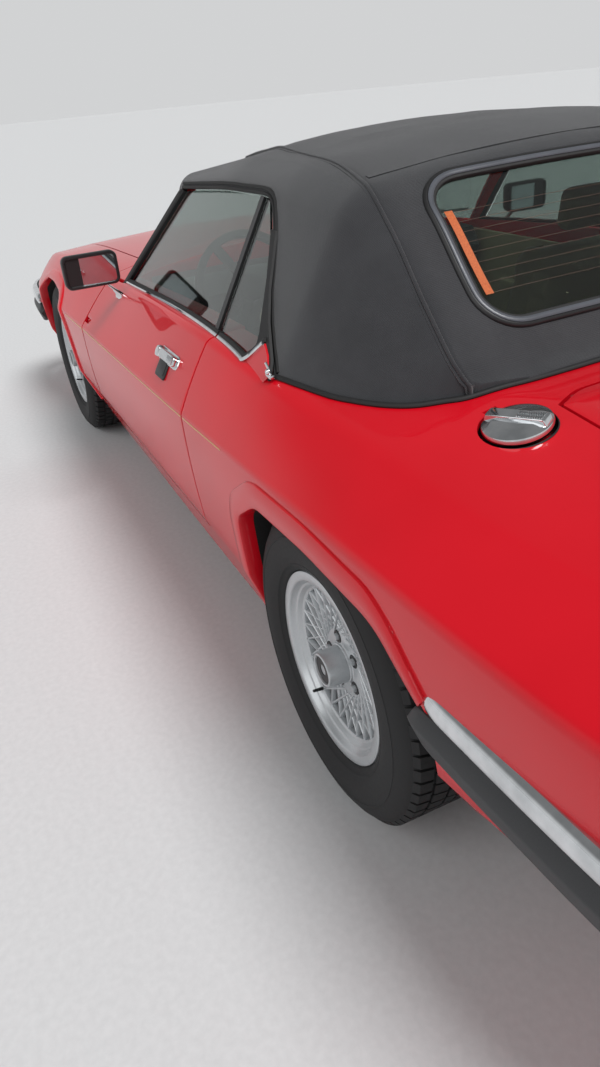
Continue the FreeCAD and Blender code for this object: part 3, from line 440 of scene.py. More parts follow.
def turned(profile, steps=64, centre=(0, 0, 0)):
    """Closed profile of (radius, along) points spun about the Y axis."""
    bm = bmesh.new()
    verts = [bm.verts.new((0, along, radius)) for radius, along in profile]
    edges = [bm.edges.new((verts[i - 1], verts[i])) for i in range(len(verts))]
    bmesh.ops.spin(bm, geom=verts + edges, cent=(0, 0, 0), axis=(0, 1, 0), dvec=(0, 0, 0), angle=2 * math.pi,
                   steps=steps, use_merge=True, use_duplicate=False)
    bmesh.ops.remove_doubles(bm, verts=bm.verts, dist=0.01)
    bmesh.ops.translate(bm, verts=bm.verts, vec=centre)
    bmesh.ops.recalc_face_normals(bm, faces=bm.faces)
    return bm


def rod(radius, start, end, segments=16, tip=None):
    """Round bar, or a cone where tip gives the far end's radius."""
    bm = bmesh.new()
    way = Vector(end) - Vector(start)
    end_radius = radius if tip is None else tip
    bmesh.ops.create_cone(bm, cap_ends=True, segments=segments, radius1=radius, radius2=end_radius,
                          depth=way.length)
    turn = way.to_track_quat("Z", "Y").to_matrix().to_4x4()
    bmesh.ops.transform(bm, matrix=Matrix.Translation((Vector(start) + Vector(end)) / 2) @ turn, verts=bm.verts)
    return bm


def thickened(sheet, thickness):
    """Makes an open sheet face up and gives it its thickness."""
    if sum(f.normal.z for f in sheet.faces) < 0:
        bmesh.ops.reverse_faces(sheet, faces=sheet.faces)
    bmesh.ops.solidify(sheet, geom=list(sheet.faces), thickness=thickness)
    bmesh.ops.recalc_face_normals(sheet, faces=sheet.faces)
    return sheet


def sweep(path, normals, profile, closed_path=False):
    """Carries a closed profile of (sideways, outwards) points along a path with its own normals, or one for all."""
    count = len(path)
    if isinstance(normals, Vector):
        normals = [normals] * count
    sections = []
    for i in range(count):
        ahead = path[(i + 1) % count] if closed_path or i < count - 1 else path[i]
        behind = path[i - 1] if closed_path or i > 0 else path[i]
        along = (ahead - behind).normalized()
        out = (normals[i] - along * normals[i].dot(along)).normalized()
        side = along.cross(out)
        sections.append([path[i] + side * a + out * b for a, b in profile])
    if closed_path:
        sections.append(sections[0])
    bm = loft(sections, capped=not closed_path)
    if closed_path:
        bmesh.ops.remove_doubles(bm, verts=bm.verts, dist=0.01)
        bmesh.ops.recalc_face_normals(bm, faces=bm.faces)
    return bm


def circle(radius, count=10, flat=1):
    """Round profile, or an oval one flat times as high as wide."""
    return [(radius * math.cos(2 * math.pi * k / count), radius * flat * math.sin(2 * math.pi * k / count))
            for k in range(count)]


def joined(*pieces):
    """One bmesh that holds all the pieces, which are used up."""
    bm = bmesh.new()
    for piece in pieces:
        mesh = mesh_of(piece)
        bm.from_mesh(mesh)
        bpy.data.meshes.remove(mesh)
    return bm


def carve(target, cutter, operation="DIFFERENCE"):
    """Boolean of two closed bmeshes, which are used up."""
    work = [linked("work", mesh_of(piece)) for piece in (target, cutter)]
    tool = work[0].modifiers.new("carve", "BOOLEAN")
    tool.solver = "MANIFOLD"
    tool.operation = operation
    tool.object = work[1]
    result = bpy.data.meshes.new_from_object(work[0].evaluated_get(bpy.context.evaluated_depsgraph_get()))
    bm = bmesh.new()
    bm.from_mesh(result)
    for thing in work:
        mesh = thing.data
        bpy.data.objects.remove(thing)
        bpy.data.meshes.remove(mesh)
    bpy.data.meshes.remove(result)
    if not bm.faces:
        raise RuntimeError("a cut left nothing over")
    return bm


def cut_away(target, *cutters):
    """The target less each cutter."""
    for cutter in cutters:
        target = carve(target, cutter)
    return target


def mirrored(bm):
    """Copy of a shape on the car's other side."""
    copy = bm.copy()
    bmesh.ops.scale(copy, verts=copy.verts, vec=(1, -1, 1))
    bmesh.ops.reverse_faces(copy, faces=copy.faces)
    return copy


def both(left):
    """One bmesh of a left-hand shape and its mirror image."""
    return joined(left.copy(), mirrored(left))


def sided(left, side):
    """Copy of a left-hand shape for the left or the right side."""
    return left.copy() if side > 0 else mirrored(left)


def turned_to(bm, matrix):
    """The same bmesh, moved by a matrix."""
    bmesh.ops.transform(bm, matrix=matrix, verts=bm.verts)
    return bm


def place(name, bm, finishes, body, nodes=(), angle=35):
    """Makes the finished piece in metres, riding on its body and standing for its nodes."""
    bmesh.ops.remove_doubles(bm, verts=bm.verts, dist=0.02)
    bmesh.ops.dissolve_degenerate(bm, edges=bm.edges, dist=0.01)
    bmesh.ops.scale(bm, verts=bm.verts, vec=(MM, MM, MM))
    mesh = mesh_of(bm, name)
    for finish in finishes if isinstance(finishes, (list, tuple)) else [finishes]:
        mesh.materials.append(material(finish))
    mesh.shade_smooth()
    mesh.set_sharp_from_angle(angle=math.radians(angle))
    piece = linked(name, mesh)
    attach(piece, body)
    if nodes:
        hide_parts(*nodes)
    return piece


# Finishes
def linear(code):
    """sRGB hex colour as linear red, green, blue and alpha."""
    values = [int(code[i:i + 2], 16) / 255 for i in (1, 3, 5)]
    return [v / 12.92 if v <= 0.04045 else ((v + 0.055) / 1.055) ** 2.4 for v in values] + [1]


def add(tree, kind, inputs=None, **settings):
    """Adds a node with its settings; an input is a value or a socket to link from."""
    node = tree.nodes.new(kind)
    for key, value in settings.items():
        setattr(node, key, value)
    for key, value in (inputs or {}).items():
        if isinstance(value, bpy.types.NodeSocket):
            tree.links.new(value, node.inputs[key])
        else:
            node.inputs[key].default_value = value
    return node


def base(name, **values):
    """Empty material with its shader, whose sockets take the values, and the object's own coordinates."""
    finish = bpy.data.materials.new(name)
    finish.use_nodes = True
    tree = finish.node_tree
    shader = tree.nodes["Principled BSDF"]
    for key, value in values.items():
        shader.inputs[key.replace("_", " ")].default_value = value
    return finish, tree, shader, add(tree, "ShaderNodeTexCoord").outputs["Object"]


def cloudy(tree, where, scale, detail, **more):
    """Noise pattern with so many clouds per metre."""
    values = {"Vector": where, "Scale": scale, "Detail": detail, **more}
    return add(tree, "ShaderNodeTexNoise", values).outputs["Fac"]


def tinted(tree, shader, pattern, low, high, ends=(0.3, 0.7)):
    """Colours the shader between two hex colours by a pattern."""
    ramp = add(tree, "ShaderNodeValToRGB", {"Fac": pattern})
    for stop, code, place_at in zip(ramp.color_ramp.elements, (low, high), ends):
        stop.color = linear(code)
        stop.position = place_at
    tree.links.new(ramp.outputs["Color"], shader.inputs["Base Color"])


def bumped(tree, shader, height, depth):
    """Raises the surface by a pattern that is depth metres high."""
    bump = add(tree, "ShaderNodeBump", {"Height": height, "Distance": depth, "Strength": 1})
    tree.links.new(bump.outputs["Normal"], shader.inputs["Normal"])


def ranged(tree, socket, value, low, high):
    """Drives a socket from a pattern, between two values."""
    node = add(tree, "ShaderNodeMapRange", {"Value": value, "To Min": low, "To Max": high})
    tree.links.new(node.outputs["Result"], socket)


def red_enamel():
    """The car's paint."""
    # Solid red enamel, sprayed and polished: deep even colour under a clear gloss with a faint orange-peel.
    finish, tree, shader, where = base("Polished red enamel", Roughness=0.4, IOR=1.5, Coat_Weight=0.65,
                                       Coat_Roughness=0.02, Coat_IOR=1.5, Specular_IOR_Level=0.08)
    tinted(tree, shader, cloudy(tree, where, 2.2, 3), COLOURS["paint_deep"], COLOURS["paint"])
    # 9 mm ripples, 6 micrometres high
    bumped(tree, shader, cloudy(tree, where, 110, 1), 0.000006)
    return finish


def duck_canvas():
    """The folding top's cloth."""
    # Acrylic duck, plain woven and dyed in the yarn: matt charcoal with a fine crossing rib and faded high spots.
    finish, tree, shader, where = base("Woven charcoal canvas", Roughness=0.92, IOR=1.45, Sheen_Weight=0.35,
                                       Sheen_Roughness=0.5, Specular_IOR_Level=0.25)
    tinted(tree, shader, cloudy(tree, where, 5, 6, Roughness=0.65), COLOURS["canvas_deep"], COLOURS["canvas"])
    # Threads are drawn 2.6 mm apart, coarser than the real 0.8 mm, so that the weave shows.
    axes = add(tree, "ShaderNodeSeparateXYZ", {"Vector": where})
    out = add(tree, "ShaderNodeMath", {0: axes.outputs["Y"]}, operation="ABSOLUTE")
    over = add(tree, "ShaderNodeMath", {0: out.outputs["Value"], 1: axes.outputs["Z"]}, operation="SUBTRACT")
    flat = add(tree, "ShaderNodeCombineXYZ", {"X": axes.outputs["X"], "Y": over.outputs["Value"]})
    cloth = flat.outputs["Vector"]
    scale = 1 / (0.0026 * math.pi)
    weft, warp = (add(tree, "ShaderNodeTexWave", {"Vector": cloth, "Scale": scale, "Distortion": 0.5, "Detail": 1},
                      bands_direction=way).outputs["Fac"] for way in ("X", "Y"))
    woven = add(tree, "ShaderNodeMath", {0: weft, 1: warp}, operation="ADD").outputs["Value"]
    bumped(tree, shader, woven, 0.00025)
    return finish


def clear_glass(name="Tinted safety glass", tint="#A9B5B0"):
    """Glass that lets the light through, so that what lies behind isn't in its shadow."""
    # Float glass with a grey-green body tint: clear to look through, with sharp reflections.
    finish, tree, shader, where = base(name, Roughness=0, IOR=1.5, Transmission_Weight=1)
    # A thin film of road dust, in 25 mm clouds
    ranged(tree, shader.inputs["Roughness"], cloudy(tree, where, 40, 6), 0, 0.03)
    shader.inputs["Base Color"].default_value = linear(tint)
    path = add(tree, "ShaderNodeLightPath")
    through = add(tree, "ShaderNodeBsdfTransparent", {"Color": linear(tint)})
    mixed = add(tree, "ShaderNodeMixShader", {0: path.outputs["Is Shadow Ray"], 1: shader.outputs["BSDF"],
                                              2: through.outputs["BSDF"]})
    tree.links.new(mixed.outputs["Shader"], tree.nodes["Material Output"].inputs["Surface"])
    return finish


def grained(name, low, high, roughness, scale, depth, metallic=0):
    """Plain finish with a fine grain: two close colours, a spread of roughness and a low bump."""
    finish, tree, shader, where = base(name, Metallic=metallic)
    grain = cloudy(tree, where, scale, 3)
    tinted(tree, shader, grain, low, high)
    ranged(tree, shader.inputs["Roughness"], grain, roughness * 0.8, roughness * 1.2)
    bumped(tree, shader, grain, depth)
    return finish


def cabin_hide():
    """The seats' leather."""
    # Cow hide, pigmented and embossed: soft cream with 4 mm pebbles, with painted shade darkening the creases
    # between them.
    finish, tree, shader, where = base("Embossed cream leather", Roughness=0.45, IOR=1.5, Coat_Weight=0.1,
                                       Coat_Roughness=0.4)
    pebble = add(tree, "ShaderNodeTexVoronoi", {"Vector": where, "Scale": 250},
                 feature="DISTANCE_TO_EDGE").outputs["Distance"]
    # Colour darkens towards each pebble's edge: painted shade in the creases
    tinted(tree, shader, pebble, COLOURS["hide_deep"], COLOURS["hide"], (0, 0.25))
    bumped(tree, shader, pebble, 0.0004)
    return finish


# Finishes with a build of their own
SPECIAL = {
    "paint": red_enamel,
    "canvas": duck_canvas,
    "glass": clear_glass,
    # Pressed glass over the lamps: nearly white, with the same sharp reflections.
    "lamp_glass": functools.partial(clear_glass, "Pressed lamp glass", "#DCE2E4"),
    "hide": cabin_hide,
}

# Plain finishes: label, two hex colours, roughness, grains per metre, grain height in metres and share of metal
GRAINED = {
    # Nickel-chrome plate on steel: mirror bright, with a few polishing hazes.
    "chrome": ("Chrome plate", "#C9CCCE", "#E4E6E8", 0.07, 30, 0.000002, 1),
    # Sprayed silver lacquer over cast aluminium: soft metal sheen with a fine flake.
    "alloy": ("Silver lacquered alloy", "#B4B8BB", "#C8CBCD", 0.3, 900, 0.00001, 0.55),
    # Moulded grey-black polyurethane: satin, finely grained, dusty on top.
    "bumper": ("Moulded bumper rubber", "#2A2B2D", "#343537", 0.5, 700, 0.00003),
    # Vulcanised tyre rubber: dull black-grey with worn dust.
    "tyre": ("Vulcanised tyre rubber", "#19191A", "#232324", 0.78, 160, 0.00008),
    # Powder-coated trim: satin black.
    "trim": ("Satin black powder coat", "#141415", "#1E1E20", 0.42, 500, 0.00001),
    # Extruded EPDM seal: dull black with a slight bloom.
    "seal": ("Extruded black seal", "#101011", "#1C1C1D", 0.65, 240, 0.00003),
    # Extruded grey rubber surround, weathered and slightly shiny along its crown.
    "surround": ("Weathered grey rubber", "#4E5157", "#565960", 0.3, 14, 0.00001),
    # Brushed-on stone guard: dull black and pitted.
    "underseal": ("Bitumen underseal", "#0E0E0F", "#1B1A19", 0.9, 120, 0.0006),
    # Tufted wool carpet: deep brown-black with no shine.
    "carpet": ("Cut wool carpet", "#4A4036", "#6B5D4C", 1, 800, 0.0012),
    # Sand-cast aluminium and iron: grey, rough and oily.
    "casting": ("Oily casting", "#4B4C4D", "#6A6B6C", 0.55, 90, 0.0003, 0.8),
    # Aluminised steel pipe: dull silver with heat stains.
    "pipe": ("Aluminised steel", "#6D6A64", "#8C8A86", 0.4, 25, 0.00005, 0.9),
    # Fired copper print on the heated window.
    "copper": ("Fired copper print", "#B4521F", "#CC6A30", 0.45, 300, 0.00001),
    # Heater lines of the same print, thin enough to look brown.
    "heater": ("Thin heater print", "#5A4438", "#6E5242", 0.5, 300, 0.00001),
    # Gold-coloured vinyl coachline.
    "coachline": ("Gold coachline", "#C58A4A", "#D9A56A", 0.3, 200, 0.000002, 0.2),
    # Silvered mirror glass: dark and sharp.
    "mirror": ("Silvered mirror glass", "#B9C0C4", "#C6CCD0", 0.02, 20, 0.0000005, 1),
    # Red acrylic over the rear lamps, moulded with fine prisms.
    "red_lens": ("Moulded red acrylic", "#7E0B0E", "#A51216", 0.12, 220, 0.0002),
    # Amber acrylic of the turn lamps.
    "amber_lens": ("Moulded amber acrylic", "#B4560E", "#D2701A", 0.12, 220, 0.0002),
    # Plain enamelled plate.
    "plate": ("White enamelled plate", "#DCDCD8", "#E9E9E6", 0.3, 60, 0.00001),
    # Folded leather strip round a cord: a shade deeper than the seat, worn smooth.
    "piping": ("Leather piping", "#A58E66", "#B39C74", 0.5, 300, 0.00004),
}

MADE = {}
COLOURS = {}


def material(name):
    """The finish of that name, made when it is first asked for."""
    if name not in MADE:
        MADE[name] = SPECIAL[name]() if name in SPECIAL else grained(*GRAINED[name])
    return MADE[name]


# Sizes and colours that a user would change
class CarSizes(bpy.types.PropertyGroup):
    grid: FloatProperty(name="Panel grid", description="Spacing of the body's sections", default=0.036, min=0.01,
                        max=0.2, subtype="DISTANCE", unit="LENGTH")
    shut_round: FloatProperty(name="Shut line radius", description="Rounding of the panels' edges", default=0.0015,
                              min=0, max=0.01, subtype="DISTANCE", unit="LENGTH")
    seam: FloatProperty(name="Seam piping", description="Radius of the top's piped seams", default=0.0038,
                        min=0.001, max=0.01, subtype="DISTANCE", unit="LENGTH")
    surround: FloatProperty(name="Window surround", description="Width of the rear window's rubber surround",
                            default=0.028, min=0.01, max=0.08, subtype="DISTANCE", unit="LENGTH")
    spokes: IntProperty(name="Spoke pairs", description="Crossing bars in each wheel", default=26, min=8, max=30)
    tread: IntProperty(name="Tread blocks", description="Blocks round each rib of the tyre", default=64, min=20,
                       max=120)


class CarColours(bpy.types.PropertyGroup):
    paint: StringProperty(name="Paint", description="Body colour as sRGB hex", default="#D40C20")
    paint_deep: StringProperty(name="Paint depth", description="Deeper body colour as sRGB hex", default="#C8081A")
    canvas: StringProperty(name="Canvas", description="Fabric top as sRGB hex", default="#38393C")
    canvas_deep: StringProperty(name="Canvas depth", description="Darker fabric as sRGB hex", default="#2B2C2F")
    hide: StringProperty(name="Leather", description="Cabin leather as sRGB hex", default="#D8C8A4")
    # Colour of the painted shade laid into the leather's creases
    hide_deep: StringProperty(name="Leather crease shade", description="Painted shade in the leather's creases as sRGB hex",
                              default="#C6B48E")


class CarStage(bpy.types.PropertyGroup):
    camera: FloatVectorProperty(name="Camera", description="Where the camera stands", subtype="TRANSLATION",
                                unit="LENGTH", default=(-2.345645, 1.370217, 1.389589))
    turn: FloatVectorProperty(name="Camera turn", description="Camera's rotation", subtype="EULER", unit="ROTATION",
                              default=tuple(math.radians(a) for a in (60.149031, 4.823905, -115.378593)))
    lens: FloatProperty(name="Lens", description="Focal length on a 36 mm sensor", default=27.184, unit="CAMERA")
    backdrop: StringProperty(name="Backdrop", description="Floor and backdrop as sRGB hex", default="#D6D7D8")
    wall_light: FloatProperty(name="Wall light", description="Strength of the pale walls", default=0.95, min=0,
                              max=2)
    ceiling_light: FloatProperty(name="Ceiling light", description="Strength of the dimmer ceiling", default=0.34,
                                 min=0, max=2)
    key_light: FloatProperty(name="Key light", description="Strength of the light from above and behind",
                             default=2.3, min=0, max=10)
    fill_light: FloatProperty(name="Fill light", description="Strength of the softer light from the left",
                              default=0.8, min=0, max=10)


def sizes():
    """The sizes that a user can change."""
    return bpy.context.scene.car_sizes


# The body as one closed shape, which the panels are cut from
def body_solid(grow=0):
    """The whole painted body, grown outwards by so many millimetres."""
    count = round((NOSE_X - TAIL_X) / (sizes().grid / MM))
    stations = [NOSE_X - k * (NOSE_X - TAIL_X) / count for k in range(count + 1)]
    ends = [(NOSE_X, 16), (NOSE_X - 3, 8), (NOSE_X - 9, 3), (NOSE_X - 18, 0)]
    sections = ends + [(x, 0) for x in stations if TAIL_X + 19 < x < NOSE_X - 19]
    sections += [(TAIL_X + NOSE_X - x, inset) for x, inset in reversed(ends)]
    loops = []
    for x, inset in sections:
        full = whole(body_half(x))
        if inset or grow:
            full = moved(full, inset - grow)
        loops.append([(x, y, z) for y, z in full])
    return loft(loops)


def arch_outline(arch, grow):
    """Side view of a wheel arch, grown by so many millimetres."""
    grown = moved([(x, z) for x, z, r in arch], -grow)
    return rounded(grown, [r + grow if r else 0 for x, z, r in arch], 10)


def arch_prism(arch, grow, y0, y1):
    """Room of a wheel arch between two distances from the centre line."""
    return prism(arch_outline(arch, grow), y0, y1)


def arch_reach(arch):
    """Rear and front end of a wheel arch, with a margin."""
    places = [x for x, z, r in arch]
    return min(places) - 60, max(places) + 60


def arch_pocket(arch, grow, y0, y1):
    """Room for the tyre inside the wing, kept under the skin where the body narrows."""
    low, high = arch_reach(arch)
    edge = []
    for k in range(25):
        x = low + (high - low) * k / 24
        skin = min(side_y(x, z) for z in range(260, 561, 60))
        edge.append((x, max(y0 + 20, min(y1, skin - 14))))
    room = prism([(high, y0), (low, y0)] + edge, 0, OVER_Z, "Z")
    return carve(arch_prism(arch, grow, y0 - 1, y1 + 1), room, "INTERSECT")


def door_cell(gap, front_gap):
    """Room of the left door, with its shut gaps."""
    front = DOOR_FRONT_X + front_gap
    rear = DOOR_REAR_X - gap
    inner = 690 - (20 if gap else 0)
    slope = 22 / 210
    plan = [(front, OUTER_Y), (front, 750 - gap), (DOOR_INNER_FRONT_X + gap, 750 - gap),
            (DOOR_INNER_FRONT_X + gap, inner), (rear + slope * (900 - inner), inner), (rear, 900), (rear, OUTER_Y)]
    return prism(plan, DOOR_BOTTOM_Z - gap, OVER_Z, "Z")


def bonnet_cell(gap):
    """Room of the bonnet, with its shut gap."""
    rear, front = BONNET_X[0] - gap, BONNET_X[1] + gap
    plan = [(rear, BONNET_HALF[0] + gap), (rear, -BONNET_HALF[0] - gap), (front, -BONNET_HALF[1] - gap),
            (front, BONNET_HALF[1] + gap)]
    return prism(rounded(plan, [12, 12, 40, 40]), 600, OVER_Z, "Z")


def boot_cell(gap):
    """Room of the boot lid, with its shut gap."""
    side = [(x + (gap if i < 2 else 0), y + gap) for i, (x, y) in enumerate(BOOT_PLAN)]
    plan = side + [(x, -y) for x, y in side[::-1]]
    return prism(rounded(plan, [90, 5, 0, 0, 5, 90]), BOOT_SILL_Z - gap, OVER_Z, "Z")


def glass_slab(outline, low, high):
    """Side-view outline made a slab between two distances from the side glass."""
    return loft([[(x, glass_y(x, z) + shift, z) for x, z in outline] for shift in (low, high)])


def lowered(bm, drop, forward=0):
    """Copy of a shape, moved down and forward."""
    copy = bm.copy()
    bmesh.ops.translate(copy, verts=copy.verts, vec=(forward, 0, -drop))
    return copy


def filler_matrix():
    """Frame of the filler lid, with Z out of the wing."""
    return Matrix.Translation(FILLER) @ Matrix.Rotation(FILLER_TILT, 4, "X")


def lid_arms(points, half=7):
    """Two bent flat bars that a lid swings on, drawn in side view."""
    path = [Vector(p) for p in points]
    upper, lower = [], []
    for i, here in enumerate(path):
        u = (here - path[i - 1]).normalized() if i else (path[1] - here).normalized()
        w = (path[i + 1] - here).normalized() if i < len(path) - 1 else u
        side = Vector((-u.y - w.y, u.x + w.x)) * (half / (1 + u.dot(w)))
        upper.append(tuple(here + side))
        lower.append(tuple(here - side))
    return [prism(upper + lower[::-1], y - half, y + half) for y in (-LID_ARM_Y, LID_ARM_Y)]


def underseal_inside(piece, arch):
    """Gives the faces inside a wheel arch the second finish."""
    low, high = arch_reach(arch)
    depth = 16
    for face in piece.data.polygons:
        x, y, z = face.center / MM
        if low < x < high and z < 790 and abs(y) < side_y(x, z) - depth and z < deck_z(x, y) - depth:
            face.material_index = 1


class PaintedBody(bpy.types.Operator):
    """Cuts the painted panels from one smooth body"""
    bl_idname = "car.painted_body"
    bl_label = "Painted panels"

    def execute(self, context):
        body = body_solid()
        edge = sizes().shut_round / MM

        def panel(cell):
            """The part of the body inside a cell."""
            return carve(body.copy(), cell, "INTERSECT")

        def finished(name, bm, node, rides="body", arch=None, arms=()):
            """Rounds a panel's edges and places it, with its lid arms or its wheel arch's coating."""
            soften(bm, edge, 2, 50)
            if arms:
                bm = joined(bm, *arms)
            finishes = ["paint", "underseal"] if arch else "paint"
            piece = place(name + "_skin", bm, finishes, rides, [node])
            if arch:
                underseal_inside(piece, arch)

        # The cells overlap by a millimetre or a half, so that no two faces lie in one plane.
        inner_tail = TAIL_X + 62
        region = block(inner_tail, -842, 520, OUTER_Y, UNDER_Z, 800)
        for cell in ((inner_tail, -1180, 380, OUTER_Y, 799, OVER_Z),
                     (-1181, -1080, 600, OUTER_Y, 799.5, OVER_Z + 1),
                     (-1180.5, -482, 700, OUTER_Y + 0.5, UNDER_Z + 0.5, OVER_Z + 0.5),
                     (-815, 1036, 701, OUTER_Y + 1, UNDER_Z + 1, DOOR_BOTTOM_Z - SHUT_GAP)):
            region = carve(region, block(*cell), "UNION")
        wing = cut_away(panel(region), arch_prism(REAR_ARCH, 0, 300, OUTER_Y + 1),
                        arch_pocket(REAR_ARCH, 40, 560, 862), door_cell(SHUT_GAP, DOOR_FRONT_GAP),
                        boot_cell(SHUT_GAP))
        right = mirrored(wing)
        left = cut_away(wing, turned_to(rod(66, (0, 0, -34), (0, 0, 80), 48), filler_matrix()),
                        turned_to(block(40, 77, -14, 14, -16, 80), filler_matrix()))
        finished("rear_wing_left", left, "rear_wing_left", arch=REAR_ARCH)
        finished("rear_wing_right", right, "rear_wing_right", arch=REAR_ARCH)

        front = DOOR_FRONT_X + DOOR_FRONT_GAP
        region = block(front, 1840, 440, OUTER_Y, UNDER_Z, 724)
        for cell in ((front, 2110, 440.5, OUTER_Y + 0.5, UNDER_Z + 0.5, 660),
                     (front, 2110.5, 540, OUTER_Y + 1, 640, OVER_Z)):
            region = carve(region, block(*cell), "UNION")
        wing = cut_away(panel(region), block(0, BONNET_X[0], 0, 750, 600, OVER_Z),
                        block(0, 1036, 0, OUTER_Y, 100, DOOR_BOTTOM_Z - SHUT_GAP),
                        arch_prism(FRONT_ARCH, 0, 300, OUTER_Y + 1), arch_pocket(FRONT_ARCH, 30, 452, 862),
                        bonnet_cell(SHUT_GAP), door_cell(SHUT_GAP, DOOR_FRONT_GAP))
        finished("front_wing_right", mirrored(wing), "front_wing_right", arch=FRONT_ARCH)
        finished("front_wing_left", wing, "front_wing_left", arch=FRONT_ARCH)

        half = [(BONNET_X[0] - SHUT_GAP, 733), (DOOR_INNER_FRONT_X, 733), (DOOR_INNER_FRONT_X, 650), (568, 480),
                (600, 240)]
        finished("scuttle", panel(prism(half + [(x, -y) for x, y in half[::-1]], BELT_Z, OVER_Z, "Z")),
                 "scuttle_panel")

        deck = cut_away(panel(block(-1400, -1160, -379.7, 379.7, 790, OVER_Z)), boot_cell(SHUT_GAP),
                        lowered(body, SHEET))
        brackets = [block(-1194, -1166, y, y + 6.7, 836, 872) for y in (-314, -292.7, 286, 307.3)]
        place("rear_deck_skin", joined(deck, *brackets), "paint", "body", ["rear_deck"])

        finished("bonnet", cut_away(panel(bonnet_cell(0)), lowered(body, SHEET * 0.7)), "bonnet", "bonnet",
                 arms=lid_arms([(2225, 655), (2150, 582), (2078, 600), (2056, 706)]))
        finished("boot_lid", cut_away(panel(boot_cell(0)), lowered(body, SHEET, 16)), "boot_lid", "boot_lid",
                 arms=lid_arms([(-1180, 850), (-1228, 705), (-1340, 690), (-1395, 860)]))

        hollow = carve(block(2100, NOSE_X - 32, -540, 540, UNDER_Z, OVER_Z), lowered(body, SHEET), "INTERSECT")
        grille = rounded([(-330, 560), (330, 560), (330, 639), (-330, 639)], [12] * 4)
        nose = cut_away(panel(block(2110.3, NOSE_X + 10, -OUTER_Y, OUTER_Y, UNDER_Z, OVER_Z)), hollow,
                        prism(grille, 2200, 2400, "X"), bonnet_cell(SHUT_GAP),
                        *[rod(44, (2180, y, LAMP_Z), (2400, y, LAMP_Z), 32) for y in LAMP_SPOTS])
        finished("nose", nose, "nose_panel")

        tail = cut_away(panel(block(TAIL_X - 10, TAIL_X + 61.7, -OUTER_Y, OUTER_Y, UNDER_Z, OVER_Z)),
                        block(TAIL_X + 30, TAIL_X + 70, -520, 520, UNDER_Z, 780), boot_cell(SHUT_GAP),
                        block(TAIL_X - 20, TAIL_X + 40, 545, 735, 640, 780),
                        block(TAIL_X - 20, TAIL_X + 40, -735, -545, 640, 780))
        finished("tail", tail, "tail_panel")

        slot = glass_slab([(500, 730), (500, 830), (-532, 900), (-532, 730)], -14, 5)
        hinges = [block(619, 691, 740, 877, z - 21, z + 21) for z in (450, 660)]
        door = cut_away(panel(door_cell(0, 0)), slot, *hinges)
        soften(door, edge, 2, 50)
        for side, word in SIDES:
            place(f"door_{word}_skin", sided(door, side), "paint", f"door_{word}", [f"door_{word}"])
        door.free()
        body.free()
        return {"FINISHED"}


class ArchFlares(bpy.types.Operator):
    """Rolls the broad flares round the wheel openings"""
    bl_idname = "car.arch_flares"
    bl_label = "Wheel arch flares"

    def execute(self, context):
        # Across the flare: distance out from the opening, and how proud of the body
        rear = [(0, -30), (-1, -1), (2, 5), (9, 7.6), (30, 7.8), (50, 6.4), (56, 4), (58, 0), (58, -6), (40, -8),
                (12, -8), (6, -30)]
        front = [(0, -30), (-1, -1), (2, 5), (8, 7.4), (20, 7.6), (30, 6), (34, 3.6), (36, 0), (36, -6), (24, -8),
                 (12, -8), (6, -30)]
        for end, arch, profile in (("rear", REAR_ARCH, rear), ("front", FRONT_ARCH, front)):
            outline = even([Vector((x, z, 0)) for x, z in arch_outline(arch, 0)], 14)
            spine = [p for p in outline if p.y > flare_foot_z(end, p.x)]
            middle = Vector((sum(p.x for p in spine) / len(spine), 330, 0))
            sections = []
            for p, along in zip(spine, tangents(spine)):
                out = Vector((-along.y, along.x, 0))
                if out.dot(p - middle) < 0:
                    out = -out
                # The rear flare narrows towards the bumper.
                fade = min(1, 0.4 + 0.6 * (p.x + 1590) / 170) if end == "rear" else 1
                section = []
                for away, proud in profile:
                    q = p + out * (away * fade)
                    section.append((q.x, side_y(q.x, min(max(q.y, 216), 800)) + proud, q.y))
                sections.append(section)
            flare = loft(sections)
            for side, word in SIDES:
                place(f"{end}_flare_{word}", sided(flare, side), "paint", "body", angle=40)
        return {"FINISHED"}


def flare_foot_z(end, x):
    """Height at which a flare ends: at the sill, and behind the rear wheel at the bumper."""
    if end == "front":
        return 246
    return 218 if x > -1500 else 554


def fabric_sag(x, y):
    """How far the stretched cloth dips between the bows that carry it."""
    bows = (TOP_FRONT_X, -190, -500, -880)
    dip = 0
    for a, b in zip(bows, bows[1:]):
        if b <= x <= a:
            t = (x - b) / (a - b)
            dip = 3.2 * 4 * t * (1 - t)
    return dip * max(0, 1 - (abs(y) / 600) ** 4)


def fabric_ripple(x, y, z):
    """Slight unevenness of the cloth: broad waves and small ones."""
    return noise.noise(Vector((x, y * 1.4, z)) * 0.007) * 1.6 + noise.noise(Vector((x, y, z)) * 0.02) * 0.5


